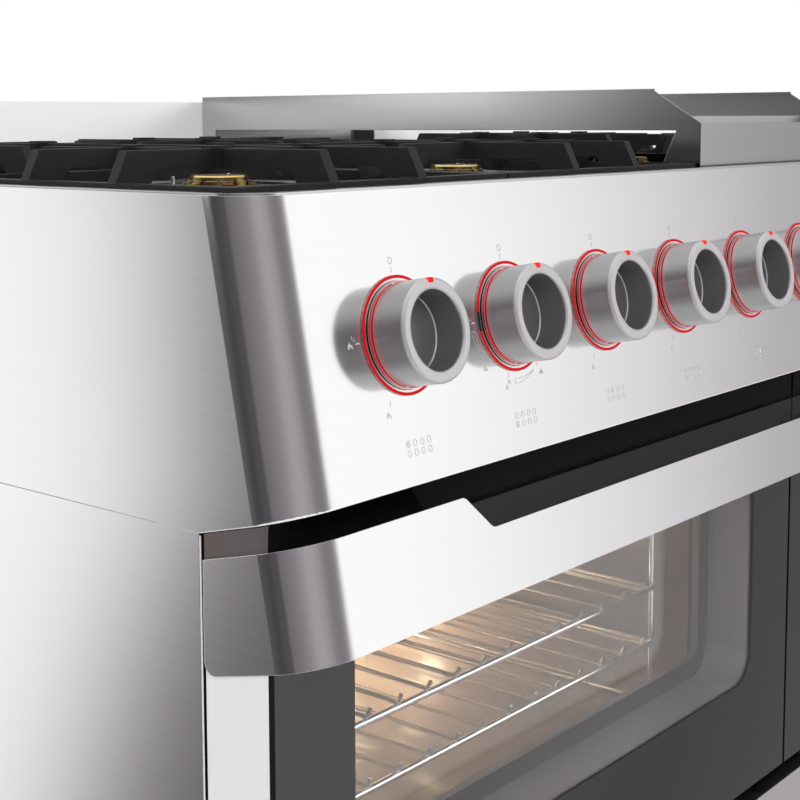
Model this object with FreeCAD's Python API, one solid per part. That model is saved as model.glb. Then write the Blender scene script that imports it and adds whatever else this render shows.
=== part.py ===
import FreeCAD, Part
import math
import os

from FreeCAD import Vector

# Overall sizes of the range, in millimetres.
# X runs across the range, Y from its front to its back and Z up from the floor.
range_width = 1200.0
hob_height = 900.0
body_front = 64.0
body_back = 708.0
seam_drop = 208.0
body_bottom = 110.0
sheet = 1.5

# The front slopes back by this rise of Y for each step of Z, and passes Y = 0 at the knob row.
fascia_slope = 0.2
knob_row_drop = 93.0
fascia_height = 186.5
corner_radius = 37.0

# Clearances and the overrun of every cut
running_gap = 0.3
shaft_gap = 0.05
panel_gap = 1.2
overrun = 50.0
reach_past_all = 2000.0

half_width = range_width / 2
seam_height = hob_height - seam_drop
knob_row_height = hob_height - knob_row_drop
fascia_low = hob_height - fascia_height
inner_half_width = half_width - sheet
tilt = math.atan(fascia_slope)
fascia_up = Vector(0, math.sin(tilt), math.cos(tilt))
fascia_out = Vector(0, -math.cos(tilt), math.sin(tilt))
knob_row = Vector(0, 0, knob_row_height)


def fascia_y(height):
    return (height - knob_row_height) * fascia_slope


# The lower edge of the fascia shell rises from the side seam to the front.
lip_slope = (fascia_low - seam_height) / (body_front - fascia_y(fascia_low))


def lip_height(y, drop):
    return seam_height + (body_front - y) * lip_slope - drop


# Shapes that several pieces share

def corner_arc(before, corner, after, radius):
    """Points round a corner of an outline, from the side of one neighbour to the other's."""
    steps = 6
    here = Vector(corner[0], corner[1], 0)
    back = (Vector(before[0], before[1], 0) - here).normalize()
    on = (Vector(after[0], after[1], 0) - here).normalize()
    half_angle = back.getAngle(on) / 2
    middle = here + (back + on).normalize() * (radius / math.sin(half_angle))
    start = here + back * (radius / math.tan(half_angle)) - middle
    end = here + on * (radius / math.tan(half_angle)) - middle
    sweep = start.getAngle(end)
    points = []
    for index in range(steps + 1):
        share = index / steps
        spoke = start * (math.sin(sweep * (1 - share)) / math.sin(sweep)) + end * (
            math.sin(sweep * share) / math.sin(sweep))
        points.append((middle.x + spoke.x, middle.y + spoke.y))
    return points


def box(x_from, x_to, y_from, y_to, z_from, z_to):
    corner = Vector(min(x_from, x_to), y_from, z_from)
    return Part.makeBox(abs(x_to - x_from), y_to - y_from, z_to - z_from, corner)


def rod(radius, start, end):
    line = end - start
    return Part.makeCylinder(radius, line.Length, start, line)


def tube(outer_radius, inner_radius, start, end):
    return rod(outer_radius, start, end).cut(rod(inner_radius, start, end))


def prism(points, direction):
    wire = Part.makePolygon(points + [points[0]])
    return Part.Face(wire).extrude(direction)


def side_prism(outline, x_from, x_to):
    points = [Vector(x_from, y, z) for y, z in outline]
    return prism(points, Vector(x_to - x_from, 0, 0))


def front_prism(outline, y_from, y_to):
    points = [Vector(x, y_from, z) for x, z in outline]
    return prism(points, Vector(0, y_to - y_from, 0))


def join(shapes):
    if len(shapes) == 1:
        return shapes[0]
    return shapes[0].multiFuse(shapes[1:]).removeSplitter()


def cut_all(shape, tools):
    return shape.cut(Part.makeCompound(tools))


def group(shapes):
    return Part.makeCompound(shapes)


def rounded_window(x_from, x_to, z_from, z_to, radius, y_from, y_to):
    block = box(x_from, x_to, y_from, y_to, z_from, z_to)
    depth = y_to - y_from
    corners = [edge for edge in block.Edges if math.isclose(edge.Length, depth, rel_tol=1e-6)
               and math.isclose(abs(edge.tangentAt(edge.FirstParameter).y), 1, rel_tol=1e-6)]
    return block.makeFillet(radius, corners)


def bent_pipe(radius, route):
    pieces = [rod(radius, start, end) for start, end in zip(route, route[1:])]
    elbows = [Part.makeSphere(radius, corner) for corner in route[1:-1]]
    return join(pieces + elbows)


def fascia_point(x, up, out):
    return knob_row + Vector(x, 0, 0) + fascia_up * up + fascia_out * out


def turned(profile, origin, axis):
    """Turn an outline of (radius, height) pairs about an axis."""
    points = [Vector(radius, 0, height) for radius, height in profile]
    face = Part.Face(Part.makePolygon(points + [points[0]]))
    solid = face.revolve(Vector(0, 0, 0), Vector(0, 0, 1), 360)
    solid.Placement = FreeCAD.Placement(origin, FreeCAD.Rotation(Vector(0, 0, 1), axis))
    return solid


def rounded_front(inset):
    """The range's front with its round corners, as a block that slopes with the fascia."""
    half = half_width - inset
    radius = corner_radius - inset
    sideways = radius * (1 - math.cos(math.pi / 4))

    def at(x, depth):
        return knob_row + Vector(x, 0, 0) - fascia_out * depth - fascia_up * reach_past_all

    left_arc = Part.Arc(at(-half, inset + radius), at(-half + sideways, inset + sideways),
                        at(-half + radius, inset))
    right_arc = Part.Arc(at(half - radius, inset), at(half - sideways, inset + sideways),
                         at(half, inset + radius))
    edges = [
        Part.LineSegment(at(-half, reach_past_all), at(-half, inset + radius)).toShape(),
        left_arc.toShape(),
        Part.LineSegment(at(-half + radius, inset), at(half - radius, inset)).toShape(),
        right_arc.toShape(),
        Part.LineSegment(at(half, inset + radius), at(half, reach_past_all)).toShape(),
        Part.LineSegment(at(half, reach_past_all), at(-half, reach_past_all)).toShape(),
    ]
    return Part.Face(Part.Wire(edges)).extrude(fascia_up * (reach_past_all + reach_past_all))


# Fascia shell: one bent sheet that makes the sloping front, its round corners and both sides
fascia_top_flange = 6.0
fascia_low_flange = 9.0
spindle_hole_radius = 8.0
knob_pitch_share = 0.1
knob_count = 9
knob_pitch = range_width * knob_pitch_share
knob_places = [(index - (knob_count - 1) / 2) * knob_pitch for index in range(knob_count)]
back_panel_face = body_back - sheet
upstand_thickness = 13.0
pan_back = body_back - upstand_thickness
back_of_rim = pan_back - running_gap


def fascia_shell():
    far_front = -overrun
    outline = [(far_front, hob_height), (body_back, hob_height), (body_back, seam_height),
               (body_front, seam_height), (far_front, lip_height(far_front, 0))]
    outer = rounded_front(0).common(side_prism(outline, -half_width, half_width))
    wall = outer.cut(rounded_front(sheet))
    top_slab = box(-half_width, half_width, far_front, back_of_rim, hob_height - sheet, hob_height)
    top_flange = outer.common(top_slab).cut(rounded_front(fascia_top_flange))
    low_outline = [(far_front, lip_height(far_front, 0)), (body_front, lip_height(body_front, 0)),
                   (body_front, lip_height(body_front, -sheet)),
                   (far_front, lip_height(far_front, -sheet))]
    low_slab = side_prism(low_outline, -half_width, half_width)
    low_flange = outer.common(low_slab).cut(rounded_front(fascia_low_flange))
    shell = join([wall, top_flange, low_flange])
    holes = [rod(spindle_hole_radius, fascia_point(x, 0, -overrun), fascia_point(x, 0, overrun))
             for x in knob_places]
    return cut_all(shell, holes)


# Hob pan: a shallow pressed tray with a raised rim and a hole for each burner
pan_gap = 1.0
pan_rim_width = 9.0
pan_rim_rise = 1.0
pan_depth = 9.0
burner_hole_radius = 33.0
column_count = 4
hob_side_margin = 16.0
grate_front = 50.0
grate_back_gap = 7.0
griddle_column = column_count // 2

pan_inset = fascia_top_flange + pan_gap
pan_floor = hob_height - pan_depth
grate_back = pan_back - grate_back_gap
column_width = (range_width - hob_side_margin * 2) / column_count
column_places = [(index - (column_count - 1) / 2) * column_width for index in range(column_count)]
row_depth = (grate_back - grate_front) / 2
front_row = grate_front + row_depth / 2
rear_row = grate_back - row_depth / 2
burner_places = [(x, y) for x in column_places for y in (rear_row, front_row)]


def hob_pan():
    rim_top = hob_height + pan_rim_rise
    body = box(-half_width, half_width, 0, pan_back, pan_floor - sheet, rim_top)
    outer = rounded_front(pan_inset).common(body)
    inner_edge = pan_inset + pan_rim_width
    above_floor = box(-half_width, half_width, 0, body_back, pan_floor, rim_top + overrun)
    recess = rounded_front(inner_edge).common(above_floor)
    under_rim = box(-half_width, half_width, 0, body_back, pan_floor - overrun, rim_top - sheet)
    hollow = rounded_front(pan_inset + sheet).common(under_rim)
    inside_wall = box(-half_width, half_width, 0, body_back + overrun, pan_floor - overrun - sheet,
                      rim_top + overrun)
    hollow = hollow.cut(rounded_front(inner_edge - sheet).common(inside_wall))
    holes = [rod(burner_hole_radius, Vector(x, y, pan_floor - overrun), Vector(x, y, rim_top))
             for x, y in burner_places]
    return cut_all(outer, [recess, hollow] + holes)


# Rear upstand: a folded sheet that closes the hob at the back
upstand_height = 65.0
upstand_foot = 20.0
upstand_side_gap = 3.0


def rear_upstand():
    half = half_width - upstand_side_gap
    top = hob_height + upstand_height
    outer = box(-half, half, pan_back, body_back, hob_height - upstand_foot, top)
    inner = box(-half + sheet, half - sheet, pan_back + sheet, body_back - sheet,
                hob_height - upstand_foot - overrun, top - sheet)
    return outer.cut(inner)


# Side panels of the lower body
seam_gap = 0.5
side_flange = 12.0


def side_panels():
    panels = []
    for side in (-1, 1):
        plate = box(side * half_width, side * inner_half_width, body_front, body_back, body_bottom,
                    seam_height - seam_gap)
        foot = box(side * inner_half_width, side * (inner_half_width - side_flange),
                   body_front + overrun, body_back - overrun, body_bottom, body_bottom + sheet)
        panels.append(join([plate, foot]))
    return group(panels)


# Doors: two drop-down doors, each a steel tray behind a full glass front
door_split_share = 0.088
door_split_gap = 4.0
door_side_gap = sheet
door_bottom = 322.0
glass_front = 2.0
glass_thickness = 5.0
door_back = 61.0
window_border = 73.0
window_bottom = 428.0
window_top_border = 35.8
window_radius = 28.0
inner_glass_front = 50.0
inner_glass_thickness = 4.0
inner_glass_margin = 14.0
window_tunnel = 2.5
band_thickness = sheet

door_split = range_width * door_split_share
door_sides = {
    "left": (-half_width + door_side_gap, door_split - door_split_gap / 2),
    "right": (door_split + door_split_gap / 2, half_width - door_side_gap),
}
glass_back = glass_front + glass_thickness
window_top = lip_height(body_front, panel_gap) - window_top_border
pivot_radius = 4.0
hinge_inset = 56.0
hinge_width = 8.0
hinge_eye_radius = 7.0
hinge_side_gap = 0.5
pivot_y = glass_back + hinge_eye_radius + hinge_side_gap * 2
pivot_z = door_bottom + pivot_y - glass_front


def window_edges(side):
    x_from, x_to = door_sides[side]
    return x_from + window_border, x_to - window_border


def hinge_places(side):
    x_from, x_to = door_sides[side]
    return (x_from + hinge_inset, x_to - hinge_inset)


def door_outline(y_from, y_to, inset):
    return [(y_from, door_bottom + inset), (y_to, door_bottom + inset),
            (y_to, lip_height(y_to, panel_gap + inset)), (y_from, lip_height(y_from, panel_gap + inset))]


def door_frame(side):
    x_from, x_to = door_sides[side]
    left, right = window_edges(side)
    tray = side_prism(door_outline(glass_back, door_back, 0), x_from, x_to)
    hollow = side_prism(door_outline(glass_back - overrun, door_back - sheet, sheet),
                        x_from + sheet, x_to - sheet)
    tray = tray.cut(hollow).common(rounded_front(band_thickness))
    tunnel_outer = rounded_window(left - window_tunnel, right + window_tunnel,
                                  window_bottom - window_tunnel, window_top + window_tunnel,
                                  window_radius + window_tunnel, glass_back, door_back)
    wall = window_tunnel - sheet
    opening = rounded_window(left - wall, right + wall, window_bottom - wall, window_top + wall,
                             window_radius + wall, glass_back - overrun, door_back + overrun)
    frame = cut_all(join([tray, tunnel_outer]), [opening])
    ledge_outer = rounded_window(left - wall, right + wall, window_bottom - wall, window_top + wall,
                                 window_radius + wall, inner_glass_front + inner_glass_thickness,
                                 door_back)
    ledge_hole = rounded_window(left + inner_glass_margin, right - inner_glass_margin,
                                window_bottom + inner_glass_margin, window_top - inner_glass_margin,
                                window_radius - inner_glass_margin, glass_back, door_back + overrun)
    frame = join([frame, ledge_outer.cut(ledge_hole)])
    notches = []
    pins = []
    for x in hinge_places(side):
        half = hinge_width / 2 + hinge_side_gap
        reach = hinge_eye_radius + hinge_side_gap
        notches.append(box(x - half, x + half, pivot_y - reach, door_back + overrun,
                           door_bottom - overrun, pivot_z + reach))
        ear = half + sheet
        pins.append(rod(pivot_radius, Vector(x - ear, pivot_y, pivot_z), Vector(x + ear, pivot_y, pivot_z)))
        for face in (-1, 1):
            pins.append(box(x + face * half, x + face * ear, glass_back, door_back - sheet,
                            door_bottom + sheet, pivot_z + reach))
    return join([cut_all(frame, notches)] + pins)


def door_glass(side):
    x_from, x_to = door_sides[side]
    left, right = window_edges(side)
    front = side_prism(door_outline(glass_front, glass_back, 0), x_from, x_to)
    front = front.common(rounded_front(band_thickness))
    wall = window_tunnel - sheet
    inner = rounded_window(left - wall, right + wall, window_bottom - wall, window_top + wall,
                           window_radius + wall, inner_glass_front,
                           inner_glass_front + inner_glass_thickness)
    return group([front, inner])


# Handle bands: a bent strip in the fascia's plane, wrapped round the range's corner
band_low_drop = 66.0
band_notch_drop = 20.0
band_drop = 17.5
band_side_back = 61.0
band_notch_run = 158.0
band_notch_slant = 26.0
band_corner = 8.0
band_post_width = 12.0
band_post_height = 30.0
band_post_inset = 9.0

band_low = seam_height - band_low_drop
band_notch_low = seam_height - band_notch_drop
band_top = (seam_height - band_drop + (body_front + knob_row_height * fascia_slope) * lip_slope) / (
    1 + fascia_slope * lip_slope)


def handle_band(side):
    x_from, x_to = door_sides[side]
    outer_x = -half_width if side == "left" else half_width
    far_front = -overrun
    low_drop = lip_height(fascia_y(band_low), 0) - band_low
    back_top = (band_side_back, lip_height(band_side_back, band_drop))
    back_low = (band_side_back, lip_height(band_side_back, low_drop))
    front_low = (far_front, lip_height(far_front, low_drop))
    side_outline = ([(far_front, lip_height(far_front, band_drop)), back_top]
                    + corner_arc(back_top, back_low, front_low, band_corner) + [front_low])
    inner_x = x_to if side == "left" else x_from
    strip = rounded_front(0).cut(rounded_front(band_thickness))
    strip = strip.common(side_prism(side_outline, min(outer_x, inner_x), max(outer_x, inner_x)))
    inward = 1 if side == "left" else -1
    notch_start = outer_x + inward * band_notch_run
    notch_foot = notch_start + inward * band_notch_slant
    far = inner_x + inward * overrun
    top_arc = corner_arc((outer_x, band_top), (notch_start, band_top), (notch_foot, band_notch_low),
                         band_corner)
    foot_arc = corner_arc((notch_start, band_top), (notch_foot, band_notch_low), (far, band_notch_low),
                          band_corner)
    notch_outline = ([(top_arc[0][0], hob_height)] + top_arc + foot_arc
                     + [(far, band_notch_low), (far, hob_height)])
    strip = strip.cut(front_prism(notch_outline, far_front, body_front))
    post_top = band_notch_low - band_post_inset
    post_low = post_top - band_post_height
    post_far = inner_x - inward * (band_post_inset + band_post_width)
    post_near = inner_x - inward * band_post_inset
    post_outline = [(glass_front, post_low), (glass_front, post_top),
                    (fascia_y(post_top) + band_thickness, post_top),
                    (fascia_y(post_low) + band_thickness, post_low)]
    post = side_prism(post_outline, min(post_far, post_near), max(post_far, post_near))
    return join([strip, post])


# Storage drawer under the ovens
drawer_top = 304.0
drawer_low = 118.0
drawer_front_depth = door_back - glass_front
drawer_side_room = 38.5
drawer_box_low = 146.0
drawer_box_top = 278.0
drawer_box_back = 560.0
runner_low = 165.0
runner_height = 20.0
runner_width = 4.7
drawer_lip = 14.0

drawer_box_half = inner_half_width - drawer_side_room


def storage_drawer():
    half = half_width - door_side_gap
    back = glass_front + drawer_front_depth
    front = box(-half, half, glass_front, back, drawer_low, drawer_top)
    hollow = box(-half + sheet, half - sheet, glass_front + sheet, back - sheet, drawer_low + sheet,
                 drawer_top - sheet)
    grip = box(-half - overrun, half + overrun, glass_front + sheet * 2, back + overrun,
               drawer_top - drawer_lip, drawer_top + overrun)
    grip_floor = box(-half, half, glass_front, back, drawer_top - drawer_lip - sheet,
                     drawer_top - drawer_lip)
    panel = join([front.cut(hollow).cut(grip), grip_floor])
    body = box(-drawer_box_half, drawer_box_half, back, drawer_box_back, drawer_box_low, drawer_box_top)
    inside = box(-drawer_box_half + sheet, drawer_box_half - sheet, back + sheet,
                 drawer_box_back - sheet, drawer_box_low + sheet, drawer_box_top + overrun)
    runners = [box(side * drawer_box_half, side * (drawer_box_half + runner_width), back,
                   drawer_box_back, runner_low, runner_low + runner_height) for side in (-1, 1)]
    return join([panel, body.cut(inside)] + runners)


# Ovens: two enamelled cavities behind the doors
cavity_inset = 12.5
cavity_low = 366.0
cavity_top_drop = 16.0
cavity_back = 520.0
insulation_thickness = 15.0
fan_shaft_radius = 4.0
fan_hole_radius = 6.0
frame_back = body_front + sheet
motor_shaft_hole = 12.0

cavity_top = seam_height - cavity_top_drop


def cavity_edges(side):
    left, right = window_edges(side)
    return left + cavity_inset, right - cavity_inset


def oven_middle(side):
    left, right = cavity_edges(side)
    return (left + right) / 2


fan_height = (cavity_low + cavity_top) / 2
sides = ("left", "right")


def fan_axis(side, y):
    return Vector(oven_middle(side), y, fan_height)


def oven_liners():
    liners = []
    for side in sides:
        left, right = cavity_edges(side)
        outer = box(left - sheet, right + sheet, frame_back, cavity_back + sheet, cavity_low - sheet,
                    cavity_top + sheet)
        inner = box(left, right, frame_back - overrun, cavity_back, cavity_low, cavity_top)
        hole = rod(fan_hole_radius, fan_axis(side, cavity_back - overrun),
                   fan_axis(side, cavity_back + overrun))
        liners.append(outer.cut(inner).cut(hole))
    return group(liners)


def oven_insulation():
    blankets = []
    for side in sides:
        left, right = cavity_edges(side)
        wrap = sheet + insulation_thickness
        outer = box(left - wrap, right + wrap, frame_back, cavity_back + wrap, cavity_low - wrap,
                    cavity_top + insulation_thickness)
        inner = box(left - sheet, right + sheet, frame_back - overrun, cavity_back + sheet,
                    cavity_low - sheet, cavity_top + sheet)
        hole = rod(motor_shaft_hole, fan_axis(side, cavity_back), fan_axis(side, cavity_back + overrun))
        blankets.append(outer.cut(inner).cut(hole))
    return group(blankets)


# Front frame: the steel face behind the doors, folded forward over them under the controls
closure_edge_gap = 1.0
closure_drop = -3.0
vent_count = 16
vent_length = 40.0
vent_width = 5.0
vent_front = 20.0
drawer_hole_side_gap = 15.0
drawer_hole_low = 142.0
drawer_hole_top = 300.0
eye_tongue_height = 6.0
vent_spread_share = 0.82

drawer_hole_half = drawer_box_half + drawer_hole_side_gap
shield_low = lip_height(body_front, closure_drop)


def front_frame():
    face = box(-inner_half_width, inner_half_width, body_front, frame_back, body_bottom,
               lip_height(body_front, closure_drop))
    windows = []
    for side in sides:
        left, right = cavity_edges(side)
        windows.append(box(left, right, body_front - overrun, frame_back + overrun, cavity_low, cavity_top))
    windows.append(box(-drawer_hole_half, drawer_hole_half, body_front - overrun, frame_back + overrun,
                       drawer_hole_low, drawer_hole_top))
    face = cut_all(face, windows)
    far_front = -overrun
    closure_outline = [(far_front, lip_height(far_front, closure_drop)), (body_front, shield_low),
                       (back_panel_face, shield_low), (back_panel_face, shield_low + sheet),
                       (body_front, shield_low + sheet),
                       (far_front, lip_height(far_front, closure_drop - sheet))]
    closure = side_prism(closure_outline, -inner_half_width, inner_half_width)
    closure = closure.common(rounded_front(sheet + closure_edge_gap))
    spread = range_width * vent_spread_share
    vents = []
    for index in range(vent_count):
        x = spread * (index / (vent_count - 1)) - spread / 2
        vents.append(box(x - vent_length / 2, x + vent_length / 2, vent_front, vent_front + vent_width,
                         fascia_low - overrun, hob_height))
    closure = cut_all(closure, vents)
    eyes = []
    for side in sides:
        for x in hinge_places(side):
            near = x - hinge_width / 2
            far = x + hinge_width / 2
            eye = rod(hinge_eye_radius, Vector(near, pivot_y, pivot_z), Vector(far, pivot_y, pivot_z))
            tongue = box(near, far, pivot_y, body_front, pivot_z - eye_tongue_height / 2,
                         pivot_z + eye_tongue_height / 2)
            bore = rod(pivot_radius + shaft_gap, Vector(near - overrun, pivot_y, pivot_z),
                       Vector(far + overrun, pivot_y, pivot_z))
            eyes.append(join([eye, tongue]).cut(bore))
    return join([face, closure] + eyes)


# Chassis: base rails, corner posts, oven rails, hob rails and the fixed drawer runners
rail_height = 30.0
rail_width = 40.0
post_size = 30.0
chassis_front = 80.0
chassis_back = 692.0
oven_rail_height = 14.0
oven_rail_width = 30.0
oven_rail_places = (110.0, 470.0)
hob_rail_height = 20.0
hob_rail_front = 60.0


def chassis_frame():
    reach = inner_half_width
    rail_top = body_bottom + rail_height
    hob_rail_top = pan_floor - sheet
    hob_rail_low = hob_rail_top - hob_rail_height
    oven_rail_top = cavity_low - sheet - insulation_thickness
    low = body_bottom + sheet
    pieces = []
    for side in (-1, 1):
        outer = side * reach
        inner = side * (reach - rail_width)
        pieces.append(box(outer, inner, chassis_front, chassis_back, low, rail_top))
        post_inner = side * (reach - post_size)
        pieces.append(box(outer, post_inner, chassis_front, chassis_front + post_size, low, shield_low))
        pieces.append(box(outer, post_inner, chassis_back - post_size, chassis_back, low, hob_rail_top))
        pieces.append(box(outer, post_inner, hob_rail_front, chassis_back, hob_rail_low, hob_rail_top))
        runner_inner = side * (drawer_box_half + runner_width + running_gap)
        pieces.append(box(outer, runner_inner, chassis_front, drawer_box_back,
                          runner_low - running_gap - runner_width, runner_low + runner_height))
        ledge = side * (drawer_box_half + running_gap)
        pieces.append(box(runner_inner, ledge, chassis_front, drawer_box_back,
                          runner_low - running_gap - runner_width, runner_low - running_gap))
    for y_from in (chassis_front, chassis_back - post_size):
        pieces.append(box(-reach, reach, y_from, y_from + post_size, low, rail_top))
    for y_from in oven_rail_places:
        pieces.append(box(-reach, reach, y_from, y_from + oven_rail_width,
                          oven_rail_top - oven_rail_height, oven_rail_top))
    middle_from = door_split - post_size / 2
    pieces.append(box(middle_from, middle_from + post_size, chassis_front, oven_rail_places[0] + overrun,
                      oven_rail_top - oven_rail_height, shield_low))
    shield = box(-reach, reach, chassis_front - overrun, chassis_back + overrun, shield_low,
                 shield_low + sheet)
    return join(pieces).cut(shield)


# Back panel with the service holes
inlet_side_inset = 60.0
inlet_drop = 140.0
inlet_radius = 10.5
inlet_bore_radius = 8.0
inlet_collar_radius = 13.0
inlet_hole_radius = 14.0
inlet_proud = 15.0
gland_side_inset = 140.0
gland_z = 240.0
gland_radius = 12.0
gland_bore_radius = 6.0
gland_proud = 12.0
anti_tip_side_inset = 150.0
anti_tip_z = 170.0
anti_tip_radius = 4.0
back_vent_count = 24
back_vent_length = 120.0
back_vent_width = 6.0
back_vent_drop = 280.0
screw_radius = 2.5
screw_hole_gap = 0.1
screw_head_radius = 4.5
screw_head_height = 3.0
screw_length = 6.0
screw_column_count = 5
low_screw_height = 130.0
middle_screw_height = 400.0
high_screw_drop = 40.0
screw_edge = 12.0
back_vent_spread_share = 0.7

inlet_x = half_width - inlet_side_inset
inlet_z = hob_height - inlet_drop
gland_x = -half_width + gland_side_inset
anti_tip_half = half_width - anti_tip_side_inset
back_vent_low = hob_height - back_vent_drop
screw_rows = (low_screw_height, middle_screw_height, hob_height - high_screw_drop)


def screw_places():
    half = inner_half_width - screw_edge
    step = half * 2 / (screw_column_count - 1)
    return [(-half + index * step, z) for index in range(screw_column_count) for z in screw_rows]


def back_panel():
    top = hob_height - upstand_foot
    panel = box(-inner_half_width, inner_half_width, back_panel_face, body_back, body_bottom, top)
    before = back_panel_face - overrun
    after = body_back + overrun
    holes = [rod(inlet_hole_radius, Vector(inlet_x, before, inlet_z), Vector(inlet_x, after, inlet_z)),
             rod(gland_radius, Vector(gland_x, before, gland_z), Vector(gland_x, after, gland_z))]
    for side in (-1, 1):
        x = side * anti_tip_half
        holes.append(rod(anti_tip_radius, Vector(x, before, anti_tip_z), Vector(x, after, anti_tip_z)))
    for x, z in screw_places():
        holes.append(rod(screw_radius + screw_hole_gap, Vector(x, before, z), Vector(x, after, z)))
    spread = range_width * back_vent_spread_share
    for index in range(back_vent_count):
        x = spread * (index / (back_vent_count - 1)) - spread / 2
        holes.append(box(x - back_vent_width / 2, x + back_vent_width / 2, before, after, back_vent_low,
                         back_vent_low + back_vent_length))
    return cut_all(panel, holes)


def fasteners():
    screws = []
    for x, z in screw_places():
        head = rod(screw_head_radius, Vector(x, body_back, z), Vector(x, body_back + screw_head_height, z))
        shank = rod(screw_radius, Vector(x, body_back - screw_length, z), Vector(x, body_back, z))
        screws.append(join([head, shank]))
    return group(screws)


# Toe plinth and feet
plinth_side_inset = 40.0
plinth_front = 92.0
plinth_low = 22.0
foot_radius = 25.0
foot_disc_height = 12.0
leg_radius = 19.0
foot_inset = 42.0
foot_back_inset = 40.0

plinth_half = half_width - plinth_side_inset


def toe_plinth():
    face = box(-plinth_half, plinth_half, plinth_front, plinth_front + sheet, plinth_low, body_bottom)
    flange = box(-plinth_half, plinth_half, plinth_front, plinth_front + post_size, body_bottom,
                 body_bottom + sheet)
    return join([face, flange])


def levelling_feet():
    feet = []
    for x in (-half_width + foot_inset, half_width - foot_inset):
        for y in (chassis_front + foot_back_inset + post_size, chassis_back - foot_back_inset):
            disc = rod(foot_radius, Vector(x, y, 0), Vector(x, y, foot_disc_height))
            leg = rod(leg_radius, Vector(x, y, 0), Vector(x, y, body_bottom + sheet))
            feet.append(join([disc, leg]))
    return group(feet)


# Grates: one cast piece over the two burners of a column
grate_gap = 1.5
grate_frame_rise = 4.0
grate_frame_height = 10.0
grate_frame_width = 12.0
grate_rise = 25.0
grate_bar_width = 9.0
grate_bar_height = 14.0
grate_bar_offset = 46.5
grate_leg_run = 30.0
grate_leg_slant = 13.0
grate_boss = 16.0
grate_boss_rise = 2.0
grate_arch_radius = 5.0

grate_frame_top = hob_height + grate_frame_rise
grate_top = hob_height + grate_rise


def bar_outline(middle, half):
    """The side outline of a bar with its slanted legs, as (place, height) pairs."""
    arch = grate_top - grate_bar_height
    low = grate_frame_top - grate_frame_height / 2
    return [
        (middle - half, low), (middle - half + grate_leg_slant, grate_top),
        (middle + half - grate_leg_slant, grate_top), (middle + half, low),
        (middle + half - grate_leg_run, low),
        (middle + half - grate_leg_run - grate_arch_radius, arch - grate_arch_radius),
        (middle + half - grate_leg_run - grate_arch_radius * 2, arch),
        (middle - half + grate_leg_run + grate_arch_radius * 2, arch),
        (middle - half + grate_leg_run + grate_arch_radius, arch - grate_arch_radius),
        (middle - half + grate_leg_run, low),
    ]


def grate(x):
    half = column_width / 2 - grate_gap
    frame_low = grate_frame_top - grate_frame_height
    outer = box(x - half, x + half, grate_front, grate_back, frame_low, grate_frame_top)
    width = grate_frame_width
    middle = (grate_front + grate_back) / 2
    front_hole = box(x - half + width, x + half - width, grate_front + width, middle - width / 2,
                     frame_low - overrun, grate_frame_top + overrun)
    rear_hole = box(x - half + width, x + half - width, middle + width / 2, grate_back - width,
                    frame_low - overrun, grate_frame_top + overrun)
    pieces = [outer.cut(front_hole).cut(rear_hole)]
    bar = grate_bar_width / 2
    for y in (front_row, rear_row):
        for shift in (-grate_bar_offset, grate_bar_offset):
            pieces.append(front_prism(bar_outline(x, half), y + shift - bar, y + shift + bar))
            pieces.append(side_prism(bar_outline(y, row_depth / 2), x + shift - bar, x + shift + bar))
            for other in (-grate_bar_offset, grate_bar_offset):
                pieces.append(box(x + other - grate_boss / 2, x + other + grate_boss / 2,
                                  y + shift - grate_boss / 2, y + shift + grate_boss / 2,
                                  grate_top - grate_bar_height, grate_top + grate_boss_rise))
    for foot_x in (x - half, x + half - width):
        for foot_y in (grate_front, middle - width / 2, grate_back - width):
            pieces.append(box(foot_x, foot_x + width, foot_y, foot_y + width, pan_floor, frame_low))
    return join(pieces)


# Burners: a base through the pan, and a brass crown with its cap that lifts off
base_flange_radius = 42.0
base_flange_height = 2.5
base_drop = 32.0
base_wall = 3.0
crown_radius = 24.0
crown_bore_radius = 16.0
crown_slot_count = 12
crown_slot_width = 3.0
crown_slot_height = 3.5
crown_lug_count = 6
crown_lug_reach = 3.5
crown_lug_width = 7.0
cap_radius = 22.0
cap_height = 4.0
cap_edge = 1.2
crown_seat_gap = 0.3

base_low = hob_height - base_drop
base_top = pan_floor + base_flange_height
crown_top = hob_height


def burner_base(x, y):
    cup_radius = burner_hole_radius - running_gap
    flange = rod(base_flange_radius, Vector(x, y, pan_floor), Vector(x, y, base_top))
    cup = rod(cup_radius, Vector(x, y, base_low), Vector(x, y, pan_floor))
    bore = rod(crown_bore_radius, Vector(x, y, base_low + base_wall), Vector(x, y, base_top + overrun))
    return join([flange, cup]).cut(bore)


def burner_bases():
    return group([burner_base(x, y) for x, y in burner_places])


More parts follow.
